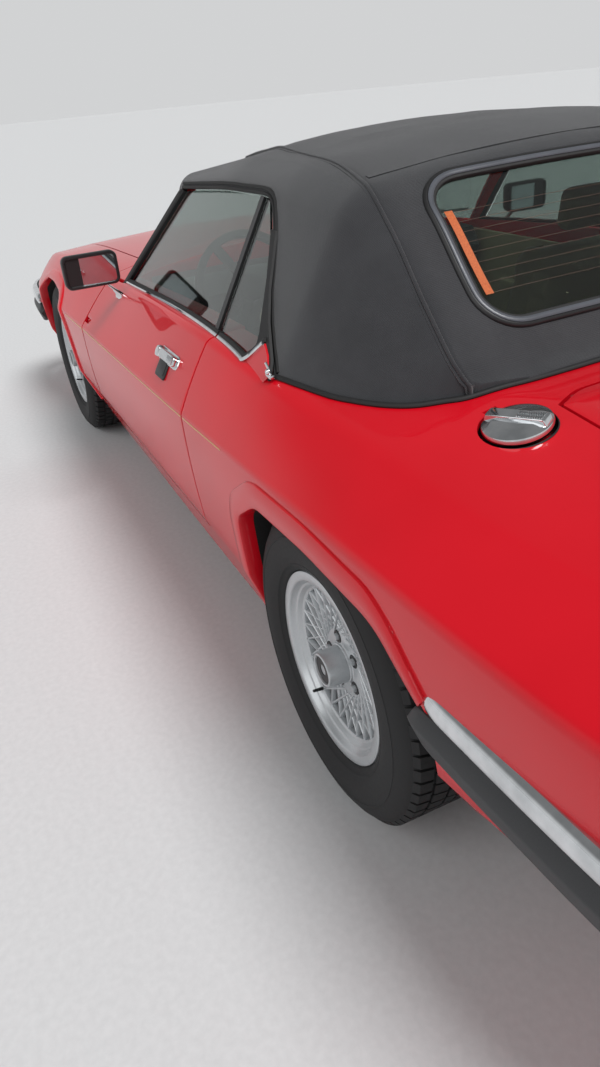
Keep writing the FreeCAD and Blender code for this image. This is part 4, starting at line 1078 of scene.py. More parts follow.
class FabricTop(bpy.types.Operator):
    """Stretches the fabric top over its bows, with seams, binding and beading"""
    bl_idname = "car.fabric_top"
    bl_label = "Fabric top"

    def execute(self, context):
        stations = [TOP_FRONT_X - 15 * k for k in range(92)] + [TOP_REAR_X]
        first = whole(top_half(TOP_FRONT_X))
        sections = [[(112, y * 0.995, z - 14) for y, z in first], [(119, y, z - 8) for y, z in first]]
        for x in stations:
            sections.append([(x, y, z - fabric_sag(x, y) + fabric_ripple(x, y, z)) for y, z in whole(top_half(x))])
        last = sections[-1]
        sections += [[(x, y, z - drop) for _, y, z in last] for x, drop in ((-1253, 3), (-1254, 12))]
        shell = thickened(loft(sections, closed=False), 4)
        opening = rounded(SIDE_OPENING, [0, 0, 30, 0, 0, 40, 30, 0, 90, 60, 60, 60, 8, 0])
        shell = cut_away(shell, body_solid(-1), prism(opening, 300, OUTER_Y), prism(opening, -OUTER_Y, -300),
                         window_plug(-8, -70, 90))
        # What is left of the foot inside the body goes.
        for vert in list(shell.verts):
            if vert.co.z < 780:
                shell.verts.remove(vert)
        top = place("fabric_top", shell, "canvas", "body", ["soft_top"], 50)
        with_pieces = [top_seams(), top_binding(), top_beading(), top_clips()]
        # The flat size is an estimate, from the finished sheet's measured 1.887 square metres, rounded up,
        # and not from a cutting pattern.
        return {"FINISHED"}


def on_top(x, y, lift=0):
    """Point over the fabric top at x and y."""
    z = top_z(x, y)
    return Vector((x, y, z)) + normal_of(top_z, x, y) * lift


def top_seams():
    """Piped seams, one each side from the header over the roof and down to the deck."""
    radius = sizes().seam / MM
    plan = [(112, 400), (-40, 424), (-200, 452), (-451, 496), (-611, 519), (-713, 528), (-788, 537), (-860, 546),
            (-909, 549), (-956, 550), (-1034, 554), (-1111, 559), (-1163, 563), (-1198, 564), (-1220, 556),
            (-1234, 545)]
    flat = curve_through([(x, y, 0) for x, y in plan], 12)
    path = [on_top(p.x, p.y, 1.5) for p in flat]
    normals = [normal_of(top_z, p.x, p.y) for p in flat]
    left = joined(sweep(path, normals, circle(radius, 10)),
                  sweep(path, normals, [(-9, -4), (-9, -1.2), (9, -1.2), (9, -4)]))
    across = [528 * (k / 22 - 1) for k in range(45)]
    lap = [(-842 - 16 * (1 - (y / 528) ** 2), y) for y in across]
    lap = sweep([on_top(x, y) for x, y in lap], [normal_of(top_z, x, y) for x, y in lap],
                [(-8, -4), (-8, 1.4), (7, 1), (8, -4)])
    return place("top_seams", joined(both(left), lap), "canvas", "body")


def opening_path():
    """Edge of the side window's opening in the top's left side, from the header round to the foot."""
    points = [(84, 1127), (-100, 1140), (-282, 1152), (-430, 1156), (-545, 1157), (-590, 1146), (-620, 1118),
              (-652, 1078), (-690, 1012), (-715, 974), (-760, 928), (-802, 896), (-844, 866), (-862, 852)]
    return [Vector((p.x, top_side_y(p.x, p.y), p.y)) for p in curve_through([(x, z, 0) for x, z in points], 12)]


def top_binding():
    """Double-stitched binding round the side window openings."""
    path = opening_path()
    normals = [side_normal(p.x, p.z) for p in path]
    ridge = [(-4.4, -4), (-4, 1.6), (-1.6, 3.8), (1.6, 3.8), (4, 1.6), (4.4, -4)]
    ridges = [sweep(path, normals, [(middle + across, up) for across, up in ridge]) for middle in (-12, -1.5)]
    return place("top_binding", both(joined(*ridges)), "seal", "body")


def foot_path():
    """Lower edge of the top on the body, from behind the side window round the tail."""
    plan = [(-862, 776), (-900, 768), (-947, 757), (-1029, 733), (-1082, 708), (-1137, 675), (-1179, 638),
            (-1207, 593), (-1229, 553), (-1247, 459), (-1252, 370), (-1254, 278), (-1255, 140), (-1255, 0)]
    return whole_plan(curve_through([(x, y, 0) for x, y in plan], 12))


def top_beading():
    """Black bead that holds the top's foot to the body."""
    flat = foot_path()
    path = [Vector((p.x, p.y, deck_z(p.x, p.y) + 3)) for p in flat]
    normals = [normal_of(deck_z, p.x, p.y) for p in flat]
    bead = sweep(path, normals, circle(6.5, 12, 0.8))
    return place("top_beading", bead, "seal", "body")


def top_clips():
    """Bright clips at the front lower corners of the cloth."""
    ball = bmesh.new()
    bmesh.ops.create_uvsphere(ball, u_segments=20, v_segments=12, radius=7)
    bmesh.ops.translate(ball, verts=ball.verts, vec=(-866, 789, 866))
    left = joined(ball, rod(3, (-866, 786, 868), (-858, 790, 884), 10), block(-880, -852, 780, 792, 852, 861, 3))
    return place("top_clips", both(left), "chrome", "body")


def window_outline(grow):
    """Rear window outline in its own plane: across, and down the slope."""
    head, foot, down = WINDOW_HALF[0] + grow, WINDOW_HALF[1] + grow, WINDOW_LENGTH + grow
    return rounded([(-head, -grow), (head, -grow), (foot, down), (-foot, down)], [80 + grow] * 4, 10)


def window_flat(a, b):
    """Point of the rear window's plane, at a across and b down the slope."""
    return WINDOW_HEAD + Vector((0, a, 0)) + WINDOW_DOWN * b


def window_plug(grow, low, high):
    """The rear window's outline made a block between two distances from its plane."""
    return loft([[window_flat(a, b) + WINDOW_NORMAL * reach for a, b in window_outline(grow)]
                 for reach in (low, high)])


def window_point(a, b, lift):
    """Point over the top's surface by the rear window, at a across and b down the slope, and its normal."""
    flat = window_flat(a, b)
    low, high = -80, 80
    for _ in range(18):
        middle = (low + high) / 2
        p = flat + WINDOW_NORMAL * middle
        if p.z > top_z(max(min(p.x, TOP_FRONT_X), TOP_REAR_X), p.y):
            high = middle
        else:
            low = middle
    return flat + WINDOW_NORMAL * (low + lift), WINDOW_NORMAL


class RearWindow(bpy.types.Operator):
    """Glazes the rear window, with its rubber surround and heater"""
    bl_idname = "car.rear_window"
    bl_label = "Rear window"

    def execute(self, context):
        outline = even([Vector((a, b, 0)) for a, b in window_outline(0)], 14, closed=True)
        path, normals = zip(*[window_point(p.x, p.y, 0) for p in outline])
        half = sizes().surround / MM / 2
        # Outer lip, grey crown and black inner lip of the surround, across its width
        outer = [(half - 9, -5), (half - 9, 5.4), (half - 6.5, 6.6), (half - 3, 5.6), (half - 0.5, 2.6), (half, -1),
                 (half, -5)]
        crown = [(-half + 8, -5), (-half + 8, 6.2), (-half + 10, 7.6), (half - 11.5, 7.8), (half - 9, 6.2),
                 (half - 9, -5)]
        inner = [(-half, -8), (-half, 1), (-half + 2, 4), (-half + 6, 5.2), (-half + 8, 4.6), (-half + 8, -8)]
        for name, profile, finish in (("lip", outer, "trim"), ("surround", crown, "surround"),
                                      ("seal", inner, "seal")):
            place(f"rear_window_{name}", sweep(path, normals, profile, closed_path=True), finish, "body")

        rows = []
        for i in range(15):
            t = i / 14
            half_width = WINDOW_HALF[0] + (WINDOW_HALF[1] - WINDOW_HALF[0]) * t
            rows.append([window_point(half_width * (k / 20 - 1), WINDOW_LENGTH * t, -4)[0] for k in range(41)])
        pane = carve(thickened(loft(rows, closed=False), 5), window_plug(-6, -90, 90), "INTERSECT")
        place("rear_window_pane", pane, "glass", "body", ["rear_window"])

        def printed(points, half, low, high):
            """Flat printed line over the pane, half as wide as given on each side."""
            return sweep(*zip(*points), [(-half, low), (half, low), (half, high), (-half, high)])

        bars = []
        for a in (-424, 424):
            steps = int((WINDOW_LENGTH - 144) / 16) + 1
            bars.append(printed([window_point(a, 82 + 16 * k, -3.6) for k in range(steps)], 9, -0.4, 0.3))
        lines = []
        for k in range(9):
            b = 88 + k * (WINDOW_LENGTH - 164) / 8
            lines.append(printed([window_point(-416 + 41.6 * j, b, -3.6) for j in range(21)], 0.25, -0.3, 0.2))
        place("window_busbars", joined(*bars), "copper", "body")
        place("window_heater", joined(*lines), "heater", "body")
        return {"FINISHED"}


def wheel_matrix(end, side):
    """Frame of a wheel, in the middle of its tyre."""
    x = FRONT_AXLE_X if end == "front" else REAR_AXLE_X
    return Matrix.Translation((x, WHEEL_Y[end] * side, AXLE_Z))


class RoadWheels(bpy.types.Operator):
    """Makes the four lattice wheels with their tyres and brake discs"""
    bl_idname = "car.road_wheels"
    bl_label = "Wheels and tyres"

    def execute(self, context):
        rim, dark = lattice_rim(sizes().spokes)
        tyre = treaded_tyre(sizes().tread)
        for end in ("front", "rear"):
            for side, word in SIDES:
                # The dark pieces, placed as the hub detail, include painted shade: black discs round the nuts and a
                # ring behind the bars
                for name, shape, finish, slot in (("rim", rim, "alloy", "wheel_alloy"),
                                                  ("hub", dark, "trim", "black_trim"),
                                                  ("tyre", tyre, "tyre", "tyre_rubber")):
                    nodes = () if name == "hub" else [f"{name}_{end}_{word}"]
                    place(f"{name}_{end}_{word}_detail", turned_to(sided(shape, side), wheel_matrix(end, side)),
                          finish, f"wheel_{end}_{word}", nodes)
        for shape in (rim, dark, tyre):
            shape.free()
        return {"FINISHED"}


def lattice_rim(pairs):
    """Rim, hub and crossing bars of one left wheel about its own axle, and its dark pieces, among them painted
    shade: black discs round the nuts and a ring behind the bars.
    """
    barrel = turned([(207, 86), (207.6, 91), (206.4, 94.2), (203, 95.4), (189, 94.6), (186.4, 93.4), (184.6, 90.6),
                     (179.4, 81.6), (177.6, 80.4), (174.4, 80), (173, 79), (168.6, 71), (167.4, 70), (163.6, 69.4),
                     (162, 68), (160.6, 60), (161.4, 50), (170, 44), (176, 38), (178, -60), (186, -88), (192, -92),
                     (197, -88), (190, -80), (184, -50), (183, 40), (190, 80), (200, 85)], 120)
    hub = turned([(0, -9), (68, -9), (74, 0), (75, 52), (73.4, 57), (70, 58.6), (46, 58.6), (44, 60), (43, 63.4),
                  (40.6, 64.6), (37.6, 105), (36.2, 108.6), (33, 109.8), (30.8, 108.6), (30, 104.6), (0, 104.6)],
                 56)
    bars = []
    step = 360 / pairs
    profile = [(-3.6, -8), (-2.6, 1), (-1.4, 2.8), (1.4, 2.8), (2.6, 1), (3.6, -8)]
    for lean, y in ((1, 0), (-1, 2.2)):
        turn = math.radians(lean * step * 2.5)
        start = Vector((0, 53.4 + y, 71))
        end = Vector((163.5 * math.sin(turn), 64.4 + y, 163.5 * math.cos(turn)))
        bar = sweep([start, start.lerp(end, 0.5), end], Vector((0, 1, 0)), profile)
        for k in range(pairs):
            bars.append(turned_to(bar.copy(), Matrix.Rotation(math.radians(k * step), 4, "Y")))
        bar.free()
    # Black discs round the nuts: painted shade, standing for the dark of their recesses
    nuts, nut_shade_discs = [], []
    for k in range(5):
        turn = Matrix.Rotation(math.radians(72 * k + 18), 4, "Y")
        nut_shade_discs.append(turned_to(turned([(0, 56), (14.6, 56), (14.6, 59), (13.6, 60), (12.4, 59.4), (0, 59.2)], 24,
                                     (0, 0, 58)), turn))
        nuts.append(turned_to(rod(8.6, (0, 58, 58), (0, 66, 58), 6, 7.6), turn))
    cap = turned([(12, 104), (29.6, 104), (29.6, 105.6), (12, 106.2)], 40)
    valve = rod(4.2, (95, 68, -136), (89, 94, -128), 12, 3.4)
    # Dark ring behind the crossing bars: painted shade, so that the gaps between the bars look dark
    shade_ring = turned([(72, 8), (168, 8), (168, 16), (72, 16)], 48)
    disc = turned([(60, -20), (98, -20), (98, -8), (60, -8)], 48)
    return joined(barrel, hub, *bars, *nuts), joined(cap, valve, *nut_shade_discs, shade_ring, disc)


def treaded_tyre(blocks):
    """Tyre with rounded walls and a block tread, about its own axle."""
    half = [(196, 80), (204, 86), (208.4, 90), (210, 94), (214, 97), (222, 101.6), (223, 103.4), (226, 104.8),
            (227, 104.2), (245, 110.5), (262, 112.4), (280, 111.6), (281, 112.6), (284, 112.6), (285, 111.2),
            (300, 107), (312, 100), (319, 93), (324, 84), (325, 60), (325.5, 0)]
    profile = half + [(r, -a) for r, a in half[-2::-1]]
    carcass = turned(profile + [(188, -60), (188, 60)], 96)
    ribs = []
    pitch = 2 * math.pi / blocks
    skew = pitch * 0.18
    tread, foot = 331.2, 318
    # Ribs across the tread: inner and outer edge, and share of a block's pitch that it starts at and fills
    for low, high, shift, fill in ((56, 92, 0, 0.8), (-92, -56, 0.5, 0.8), (18, 50, 0.25, 0.84),
                                   (-50, -18, 0.75, 0.84), (-12, 12, 0, 0.88)):
        # The outermost edges round off towards the side walls.
        low_edge, low_bevel = (tread, 3) if abs(low) < 90 else (322, 8)
        high_edge, high_bevel = (tread, 3) if abs(high) < 90 else (322, 8)
        section = ((low, foot, 0), (low, low_edge - 1, 0), (low + low_bevel, tread, 0),
                   (high - high_bevel, tread, skew), (high, high_edge - 1, skew), (high, foot, skew))
        for k in range(blocks):
            start = (k + shift) * pitch
            ribs.append(loft([[(radius * math.sin(angle + twist), across, radius * math.cos(angle + twist))
                               for across, radius, twist in section] for angle in (start, start + pitch * fill)]))
    return joined(carcass, *ribs)


def bumper_path(reach, start_x):
    """Left half of a bumper's plan line, from beside the wheel round to the middle."""
    way = 1 if reach > 0 else -1
    span = abs(reach - start_x)
    plan = [(0, 893), (0.28, 884), (0.48, 872), (0.66, 846), (0.82, 792), (0.93, 700), (0.985, 560), (1, 380),
            (1, 180), (1, 0)]
    return curve_through([(start_x + way * share * span, y, 0) for share, y in plan], 14)


class Bumpers(bpy.types.Operator):
    """Moulds the rubber bumpers and presses their bright blades"""
    bl_idname = "car.bumpers"
    bl_label = "Bumpers"

    def execute(self, context):
        # Sections of the moulding: up, and away from the car
        rubber = [(0, -30), (0, -15), (4, -9), (40, 3.4), (46, 5), (52, 4.6), (70, -5), (75.5, -9), (77, -14),
                  (77, -30)]
        blade = [(77.4, -30), (77.4, -15), (79.4, -8), (84, -4), (91, -1.8), (99, -1.2), (108, -2.2), (116, -5.2),
                 (122, -10), (125.4, -17), (126, -30)]
        for end, reach, rubber_x, blade_x, low in (("rear", -BUMPER_REACH, -1546, -1580, 480),
                                                   ("front", BUMPER_REACH, 1812, 1840, 425)):
            way = 1 if reach > 0 else -1
            for name, start, profile, finish, slot in (("bumper", rubber_x, rubber, "bumper", "bumper_rubber"),
                                                       ("bumper_blade", blade_x, blade, "chrome", "bright_trim")):
                spine = whole_plan(bumper_path(reach - way * 6, start))
                middle = (profile[0][0] + profile[-1][0]) / 2
                sections = []
                for i, (p, along) in enumerate(zip(spine, tangents(spine))):
                    out = Vector((along.y, -along.x, 0)) * (-way)
                    # The moulding's ends are rounded off over their first stretch
                    shrink = (0.5, 0.82, 0.94, 0.985, 1)[min(i, len(spine) - 1 - i, 4)]
                    section = []
                    for up, depth in profile:
                        q = p + out * (depth - (1 - shrink) * 16)
                        section.append((q.x, q.y, low + middle + (up - middle) * shrink))
                    sections.append(section)
                place(f"{end}_{name}_detail", loft(sections), finish, "body", [f"{end}_{name}"], 30)
        return {"FINISHED"}


class SideTrim(bpy.types.Operator):
    """Fits the bright waist trim, seals and coachlines"""
    bl_idname = "car.side_trim"
    bl_label = "Side trim"

    def execute(self, context):
        for side, word in SIDES:
            for name, x0, x1, body in (("door", 498, DOOR_REAR_X + 2, f"door_{word}"),
                                       ("quarter", DOOR_REAR_X - 8, -716, "body")):
                points = []
                for k in range(25):
                    x = x0 + (x1 - x0) * k / 24
                    z = belt_z(x)
                    points.append(Vector((x, glass_y(x, z) + 8, z + 2)))
                if name == "quarter":
                    upturn = [(-736, 864), (-756, 878), (-774, 892), (-790, 903)]
                    points = even(points + on_glass(upturn, 5), 12)
                strip = sweep(points, GLASS_NORMAL, [(-5, -6), (-5.5, 1), (-3, 4), (1.5, 5), (5, 3), (6, -6)])
                gasket = sweep([p + Vector((0, -5, 6)) for p in points], GLASS_NORMAL,
                               [(-6, -8), (-6, 2), (0, 4), (5, 2), (5, -8)])
                for shape, label, finish, slot in ((strip, "waist_trim", "chrome", "bright_trim"),
                                                   (gasket, "waist_seal", "seal", "black_trim")):
                    place(f"{name}_{label}_{word}", sided(shape, side), finish, body)
            post = on_glass([(530, 786), (420, 874), (280, 984), (150, 1088), (100, 1126)], 9)
            post = sweep(even(post, 30), GLASS_NORMAL, [(-15, -10), (-15, 1), (-10, 5), (8, 5), (13, 1), (13, -10)])
            panel = [(-722, 852), (-794, 902), (-828, 886), (-862, 852), (-846, 838)]
            fill = [(-632, 1096), (-690, 1010), (-742, 912), (-752, 846), (-866, 846), (-846, 880), (-770, 938),
                    (-722, 992), (-660, 1096)]
            for shape, label, finish, slot in (
                    (post, "post_seal", "seal", "black_trim"),
                    (glass_slab(panel, -2, 4), "quarter_panel", "paint", "red_paint"),
                    (glass_slab(fill, -6, 0), "quarter_seal", "seal", "black_trim")):
                place(f"{label}_{word}", sided(shape, side), finish, "body")
            for name, x0, x1, body in (("front", 1020, DOOR_FRONT_X + 14, "body"),
                                       ("door", DOOR_FRONT_X - 4, DOOR_REAR_X + 3, f"door_{word}"),
                                       ("rear", DOOR_REAR_X - 10, -800, "body")):
                count = max(4, round(abs(x1 - x0) / 30))
                path = []
                for k in range(count + 1):
                    x = x0 + (x1 - x0) * k / count
                    z = body_row(x)[5] - 7
                    path.append(Vector((x, side_y(x, z) + 0.2, z)))
                strip = sweep(path, Vector((0, 1, 0)), [(-2, -1), (-2, 0.3), (2, 0.3), (2, -1)])
                place(f"{name}_coachline_{word}", sided(strip, side), "coachline", body)
        return {"FINISHED"}


def on_glass(points, out):
    """Points of a side view, moved out to a distance from the side glass."""
    return [Vector((x, glass_y(x, z) + out, z)) for x, z in points]


def belt_z(x):
    """Height at which the side glass comes out of the body."""
    z = 840
    for _ in range(6):
        z = deck_z(x, glass_y(x, z) + 8)
    return z


class DoorFittings(bpy.types.Operator):
    """Makes the door handles, mirrors and inner door pads"""
    bl_idname = "car.door_fittings"
    bl_label = "Door fittings"

    def execute(self, context):
        # The handle's own frame: X along the car, Y down the slope, Z away from the door
        x, z = -325, 772
        lean = (side_y(x, z + 12) - side_y(x, z - 12)) / 24
        along, down = Vector((1, 0, 0)), Vector((0, -lean, -1)).normalized()
        seat = Matrix((along, down, along.cross(down))).transposed().to_4x4()
        seat = Matrix.Translation((x, side_y(x, z), z)) @ seat

        def pad(x0, x1, y0, y1, levels, radius):
            """Low block with rounded corners, by levels of height and share of its full size."""
            cx, cy = (x0 + x1) / 2, (y0 + y1) / 2
            outline = rounded([(x0, y0), (x1, y0), (x1, y1), (x0, y1)], [radius] * 4)
            return loft([[(cx + (x - cx) * t, cy + (y - cy) * t, z) for x, y in outline] for z, t in levels])

        cover = pad(-78, 78, -18, 19, ((-8, 1), (2.5, 1), (4.5, 0.97), (5, 0.9)), 16)
        grip = pad(-72, 58, -13, 13, ((4, 0.97), (13, 1), (17, 0.97), (19, 0.86), (19.4, 0.6)), 11)
        boss = pad(44, 76, -16, 16, ((4, 1), (15, 0.98), (19, 0.86), (20.5, 0.6)), 14)
        flap = pad(-14, 62, 15, 62, ((-10, 1), (2, 1), (4, 0.95), (4.4, 0.8)), 9)
        dish = pad(-8, 56, 12, 54, ((3.6, 1), (5.8, 0.96), (6.4, 0.86)), 7)
        teeth = [block(-66 + 7 * k, -62.6 + 7 * k, -8, 8, 18, 21, 0.8) for k in range(6)]
        bright = turned_to(joined(cover, grip, boss, *teeth), seat)
        dark = turned_to(joined(flap, dish), seat)
        mirror_parts = door_mirror()
        for side, word in SIDES:
            for name, shape, finish, nodes, slot in (
                    ("handle_bar", bright, "chrome", [f"door_handle_{word}"], "bright_trim"),
                    ("handle_flap", dark, "trim", [], "black_trim"),
                    ("mirror_shell", mirror_parts[0], "trim", [f"door_mirror_{word}"], "black_trim"),
                    ("mirror_glass", mirror_parts[1], "mirror", [], "bright_trim"),
                    ("mirror_foot", mirror_parts[2], "chrome", [], "bright_trim")):
                place(f"{name}_{word}", sided(shape, side), finish, f"door_{word}", nodes)
            card = joined(block(-480, 470, 676, 689, 400, 790, 6), block(-330, 250, 640, 680, 590, 630, 10))
            place(f"door_pad_{word}", sided(card, side), "hide", f"door_{word}")
        return {"FINISHED"}


def door_mirror():
    """Shell, glass and foot of the left door mirror."""
    def ring(x, grow, lift=0):
        """Outline of the shell at x, grown and tilted."""
        y0, y1, z0, z1 = 782 - grow, 962 + grow, 838 - grow, 944 + grow
        outline = rounded([(y0, z0), (y1, z0), (y1, z1), (y0, z1)], [22 + grow] * 4, 6)
        return [(x + lift * (y - 872), y, z) for y, z in outline]

    stations = ((378, -12), (372, -9), (372, -3), (377, -0.5), (400, -1), (420, -6), (433, -16), (439, -30),
                (440, -46))
    shell = loft([ring(x, grow) for x, grow in stations])
    glass = loft([ring(379, -11, 0.03), ring(377, -11.4, 0.03)])
    stalk = ((0, 1), (0.12, 0.98), (0.3, 0.7), (0.55, 0.52), (0.8, 0.46), (1, 0.5))
    foot = loft([[(425 + dx - t * 18, 768 + t * 66 + dy * s, 776 + t * 70) for dx, dy in circle(26 * s, 16)]
                 for t, s in stalk])
    return shell, glass, foot


class FillerFlap(bpy.types.Operator):
    """Makes the bright fuel flap with its ribbed middle, and its cup"""
    bl_idname = "car.filler_flap"
    bl_label = "Fuel filler"

    def execute(self, context):
        seat = filler_matrix()
        upright = Matrix.Rotation(math.radians(90), 4, "X")
        askew = Matrix.Rotation(math.radians(26), 4, "Z")
        dome = turned([(59.5, -12), (60, -4), (58.5, 0), (54, 2.6), (44, 6), (30, 9), (14, 10.6), (0, 11),
                       (0, -12)], 72)
        # Flat facet beside the band, towards the car's side
        tilt = Matrix.Translation((0, 12, 7.4)) @ Matrix.Rotation(math.radians(-7), 4, "X")
        facet = turned_to(block(-90, 90, 0, 90, 0, 40), tilt)
        disc = carve(turned_to(dome, upright), turned_to(facet, askew))
        outline = rounded([(-57, -14), (57, -14), (57, 14), (-57, 14)], [4] * 4)
        levels = ((-2, 1), (9, 0.96), (12, 0.93), (12.8, 0.88))
        band = loft([[(x * t, -3 + y * t, z) for x, y in outline] for z, t in levels])
        ribs = [block(x0 + 4 * k, x0 + 2.4 + 4 * k, y0, y0 + 9.4, 11, 14, 0.6) for x0 in (-48, -24)
                for k in range(6) for y0 in (-13.4, -2.6)]
        band = turned_to(joined(band, *ribs), askew)
        lug = block(40, 74, -9, 9, -12, -4, 1.5)
        place("filler_flap", turned_to(joined(disc, band, lug), seat), "chrome", "filler_lid", ["filler_lid"],
              25)
        cup = turned_to(turned([(66.6, -36), (66.6, -13), (64.6, -12), (64.6, -34), (0, -34), (0, -36)], 64),
                        upright)
        place("filler_cup", turned_to(cup, seat), "trim", "body")
        return {"FINISHED"}


# Seat padding: voxel and caps of the swelling in metres, and frames of the cloth simulation
SEAT_VOXEL = 0.008
SEAT_CAPS = {"cushion": 0.022, "back": 0.022, "head": 0.004}
SEAT_FRAMES = 20


class Seats(bpy.types.Operator):
    """Pads the two leather seats"""
    bl_idname = "car.seats"
    bl_label = "Seats"

    def execute(self, context):
        # Pad: side outline and width across the car
        pads = {
            "cushion": ([(-300, 345), (150, 368), (186, 430), (160, 484), (-60, 462), (-300, 446)], 178, 637),
            "back": ([(-300, 440), (-268, 470), (-385, 860), (-428, 912), (-488, 905), (-470, 800),
                      (-405, 440)], 190, 625),
            "head": ([(-430, 935), (-446, 1046), (-496, 1052), (-512, 1008), (-494, 930)], 300, 515),
        }
        frame_box = block(-300, 120, 210, 605, 250.3, 352, 8)
        beads = []
        for name, (outline, y0, y1) in pads.items():
            shape = prism(rounded(outline, [26] * len(outline), 4), y0, y1)
            soften(shape, 22, 3, 50)
            nodes = {word: [f"seat_{word}"] if name == "cushion" else () for word in ("left", "right")}
            piece = place(f"seat_{name}_left", shape, "hide", "body", nodes["left"], 60)
            plump(piece, SEAT_CAPS[name])
            twin = bmesh.new()
            twin.from_mesh(piece.data)
            tree = BVHTree.FromBMesh(twin)
            bmesh.ops.scale(twin, vec=(1 / MM, 1 / MM, 1 / MM), verts=twin.verts)
            right = place(f"seat_{name}_right", mirrored(twin), "hide", "body", nodes["right"], 60)
            if name != "head":
                beads += seat_seams(tree, name, y0, y1)
        seams = joined(*beads)
        for word, bm, box in (("right", mirrored(seams), mirrored(frame_box)), ("left", seams, frame_box)):
            place(f"seat_piping_{word}", bm, "piping", "body", angle=60)
            place(f"seat_base_{word}", box, "trim", "body")
        return {"FINISHED"}


def seat_seams(tree, name, y0, y1):
    """Piping laid on a pad: two long lines and the welts of the flutes between them."""
    # Middle of the pad, and the angles from its front over its top that the piping runs through
    middle, low, high = {"cushion": (Vector((-60, 0, 405)), -8, 158),
                         "back": (Vector((-400, 0, 660)), -64, 98)}[name]
    inset, out = 78, []

    def on_pad(y, degrees):
        """Point and normal of the pad where a line from its middle leaves it, or nothing."""
        way = Vector((math.cos(math.radians(degrees)), 0, math.sin(math.radians(degrees))))
        start = (middle + way * 600 + Vector((0, y, 0))) * MM
        hit, normal, index, distance = tree.ray_cast(start, -way)
        return None if hit is None else (hit / MM, normal)

    rows = [y0 + inset + (y1 - y0 - 2 * inset) * k / 5 for k in range(6)]
    for k, y in enumerate(rows):
        found = [hit for hit in (on_pad(y, low + (high - low) * i / 44) for i in range(45)) if hit]
        radius = 4 if k in (0, 5) else 2.2
        out.append(sweep([p + n * radius * 0.3 for p, n in found], [n for p, n in found], circle(radius, 8)))
    return out


def plump(piece, cap):
    """Swells a pad with a short cloth simulation and keeps each point within the cap."""
    scene = bpy.context.scene
    remesh = piece.modifiers.new("remesh", "REMESH")
    remesh.mode = "VOXEL"
    remesh.voxel_size = SEAT_VOXEL
    apply_modifiers(piece)
    rest = [v.co.copy() for v in piece.data.vertices]
    cloth = piece.modifiers.new("swell", "CLOTH")
    cloth.settings.use_pressure = True
    cloth.settings.uniform_pressure_force = 4
    cloth.settings.effector_weights.gravity = 0
    cloth.point_cache.frame_start = 1
    cloth.point_cache.frame_end = SEAT_FRAMES
    for index in range(1, SEAT_FRAMES + 1):
        scene.frame_set(index)
    apply_modifiers(piece)
    for vert, start in zip(piece.data.vertices, rest):
        shift = vert.co - start
        if shift.length > cap:
            vert.co = start + shift * (cap / shift.length)
    smooth = piece.modifiers.new("smooth", "SMOOTH")
    smooth.iterations = 4
    apply_modifiers(piece)
    scene.frame_set(1)


def apply_modifiers(piece):
    """Makes the piece's mesh what its modifiers show."""
    graph = bpy.context.evaluated_depsgraph_get()
    mesh = bpy.data.meshes.new_from_object(piece.evaluated_get(graph))
    old = piece.data
    piece.modifiers.clear()
    piece.data = mesh
    bpy.data.meshes.remove(old)
    piece.data.shade_smooth()


class Lamps(bpy.types.Operator):
    """Makes the head lamps, tail lamps, plates and tail-pipe trims"""
    bl_idname = "car.lamps"
    bl_label = "Lamps and plates"

    def execute(self, context):
        quarter = Matrix.Rotation(math.radians(-90), 4, "Z")
        lenses, rims = [], []
        for y in LAMP_SPOTS:
            seat = Matrix.Translation((2286, y, LAMP_Z)) @ quarter
            lenses.append(turned_to(turned([(0, 8), (20, 7), (36, 3.6), (42, 1), (42, -3), (0, 2)], 48), seat))
            rims.append(turned_to(turned([(41.8, 1), (42.6, 5), (45, 8.4), (48, 8.6), (50.6, 6), (51.6, 3.8),
                                          (50, 3), (43.6, 2.6), (43.6, -44), (30, -66), (0, -72), (0, -70),
                                          (28, -64), (41.8, -42)], 48), seat))
            for z in (-24, 0, 24):
                rims.append(turned_to(rod(12, (0, -60, z * 0.1), (0, -40, z * 0.1), 16, 6), seat))
        place("head_lenses", joined(*lenses), "lamp_glass", "body", ["headlamps"])
        place("head_reflectors", joined(*rims), "chrome", "body")
        x0, x1, y0, y1 = TAIL_X - 2, TAIL_X + 38, 546.6, 733.4
        for side, word in SIDES:
            rows = (("tail_lens", "red_lens", 641.6, 700), ("turn_lens", "amber_lens", 701, 738),
                    ("reverse_lens", "lamp_glass", 739, 778.4))
            for label, finish, z0, z1 in rows:
                ribs = [block(x0 - 1.6, x0 + 4, 549, 731, z0 + 4 + 6 * k, z0 + 7 + 6 * k, 0.8)
                        for k in range(int((z1 - z0 - 8) / 6) + 1)]
                lens = joined(block(x0, x1 - 8, y0, y1, z0, z1, 3), *ribs)
                nodes = ["tail_lamps"] if label == "tail_lens" and side > 0 else ()
                place(f"{label}_{word}", sided(lens, side), finish, "body", nodes)
            back = block(x1 - 7.8, x1 - 2, y0, y1, 641.6, 778.4)
            place(f"lamp_back_{word}", sided(back, side), "plate", "body")
        plate = block(TAIL_X - 7, TAIL_X - 3.4, -152, 152, 664, 740, 1.2)
        place("rear_plate", plate, "plate", "boot_lid")
        rail = joined(block(TAIL_X - 16, TAIL_X - 1, -170, 170, 752, 764, 4),
                      block(TAIL_X - 3.4, TAIL_X + 1, -158, 158, 658, 746, 1))
        place("rear_plate_holder", rail, "chrome", "boot_lid")
        tips = [turned_to(turned([(24.4, 0), (27, 0), (28, 2), (28, 78), (26.6, 80), (25, 78)], 32),
                          Matrix.Translation((-2386, y, 165)) @ quarter) for y in (-TAIL_PIPE_Y, TAIL_PIPE_Y)]
        place("tail_pipe_trims", joined(*tips), "chrome", "body")
        front = block(BUMPER_REACH - 14, BUMPER_REACH - 0.2, -162, 162, 452, 466, 2)
        place("front_plate", front, "trim", "body")
        return {"FINISHED"}


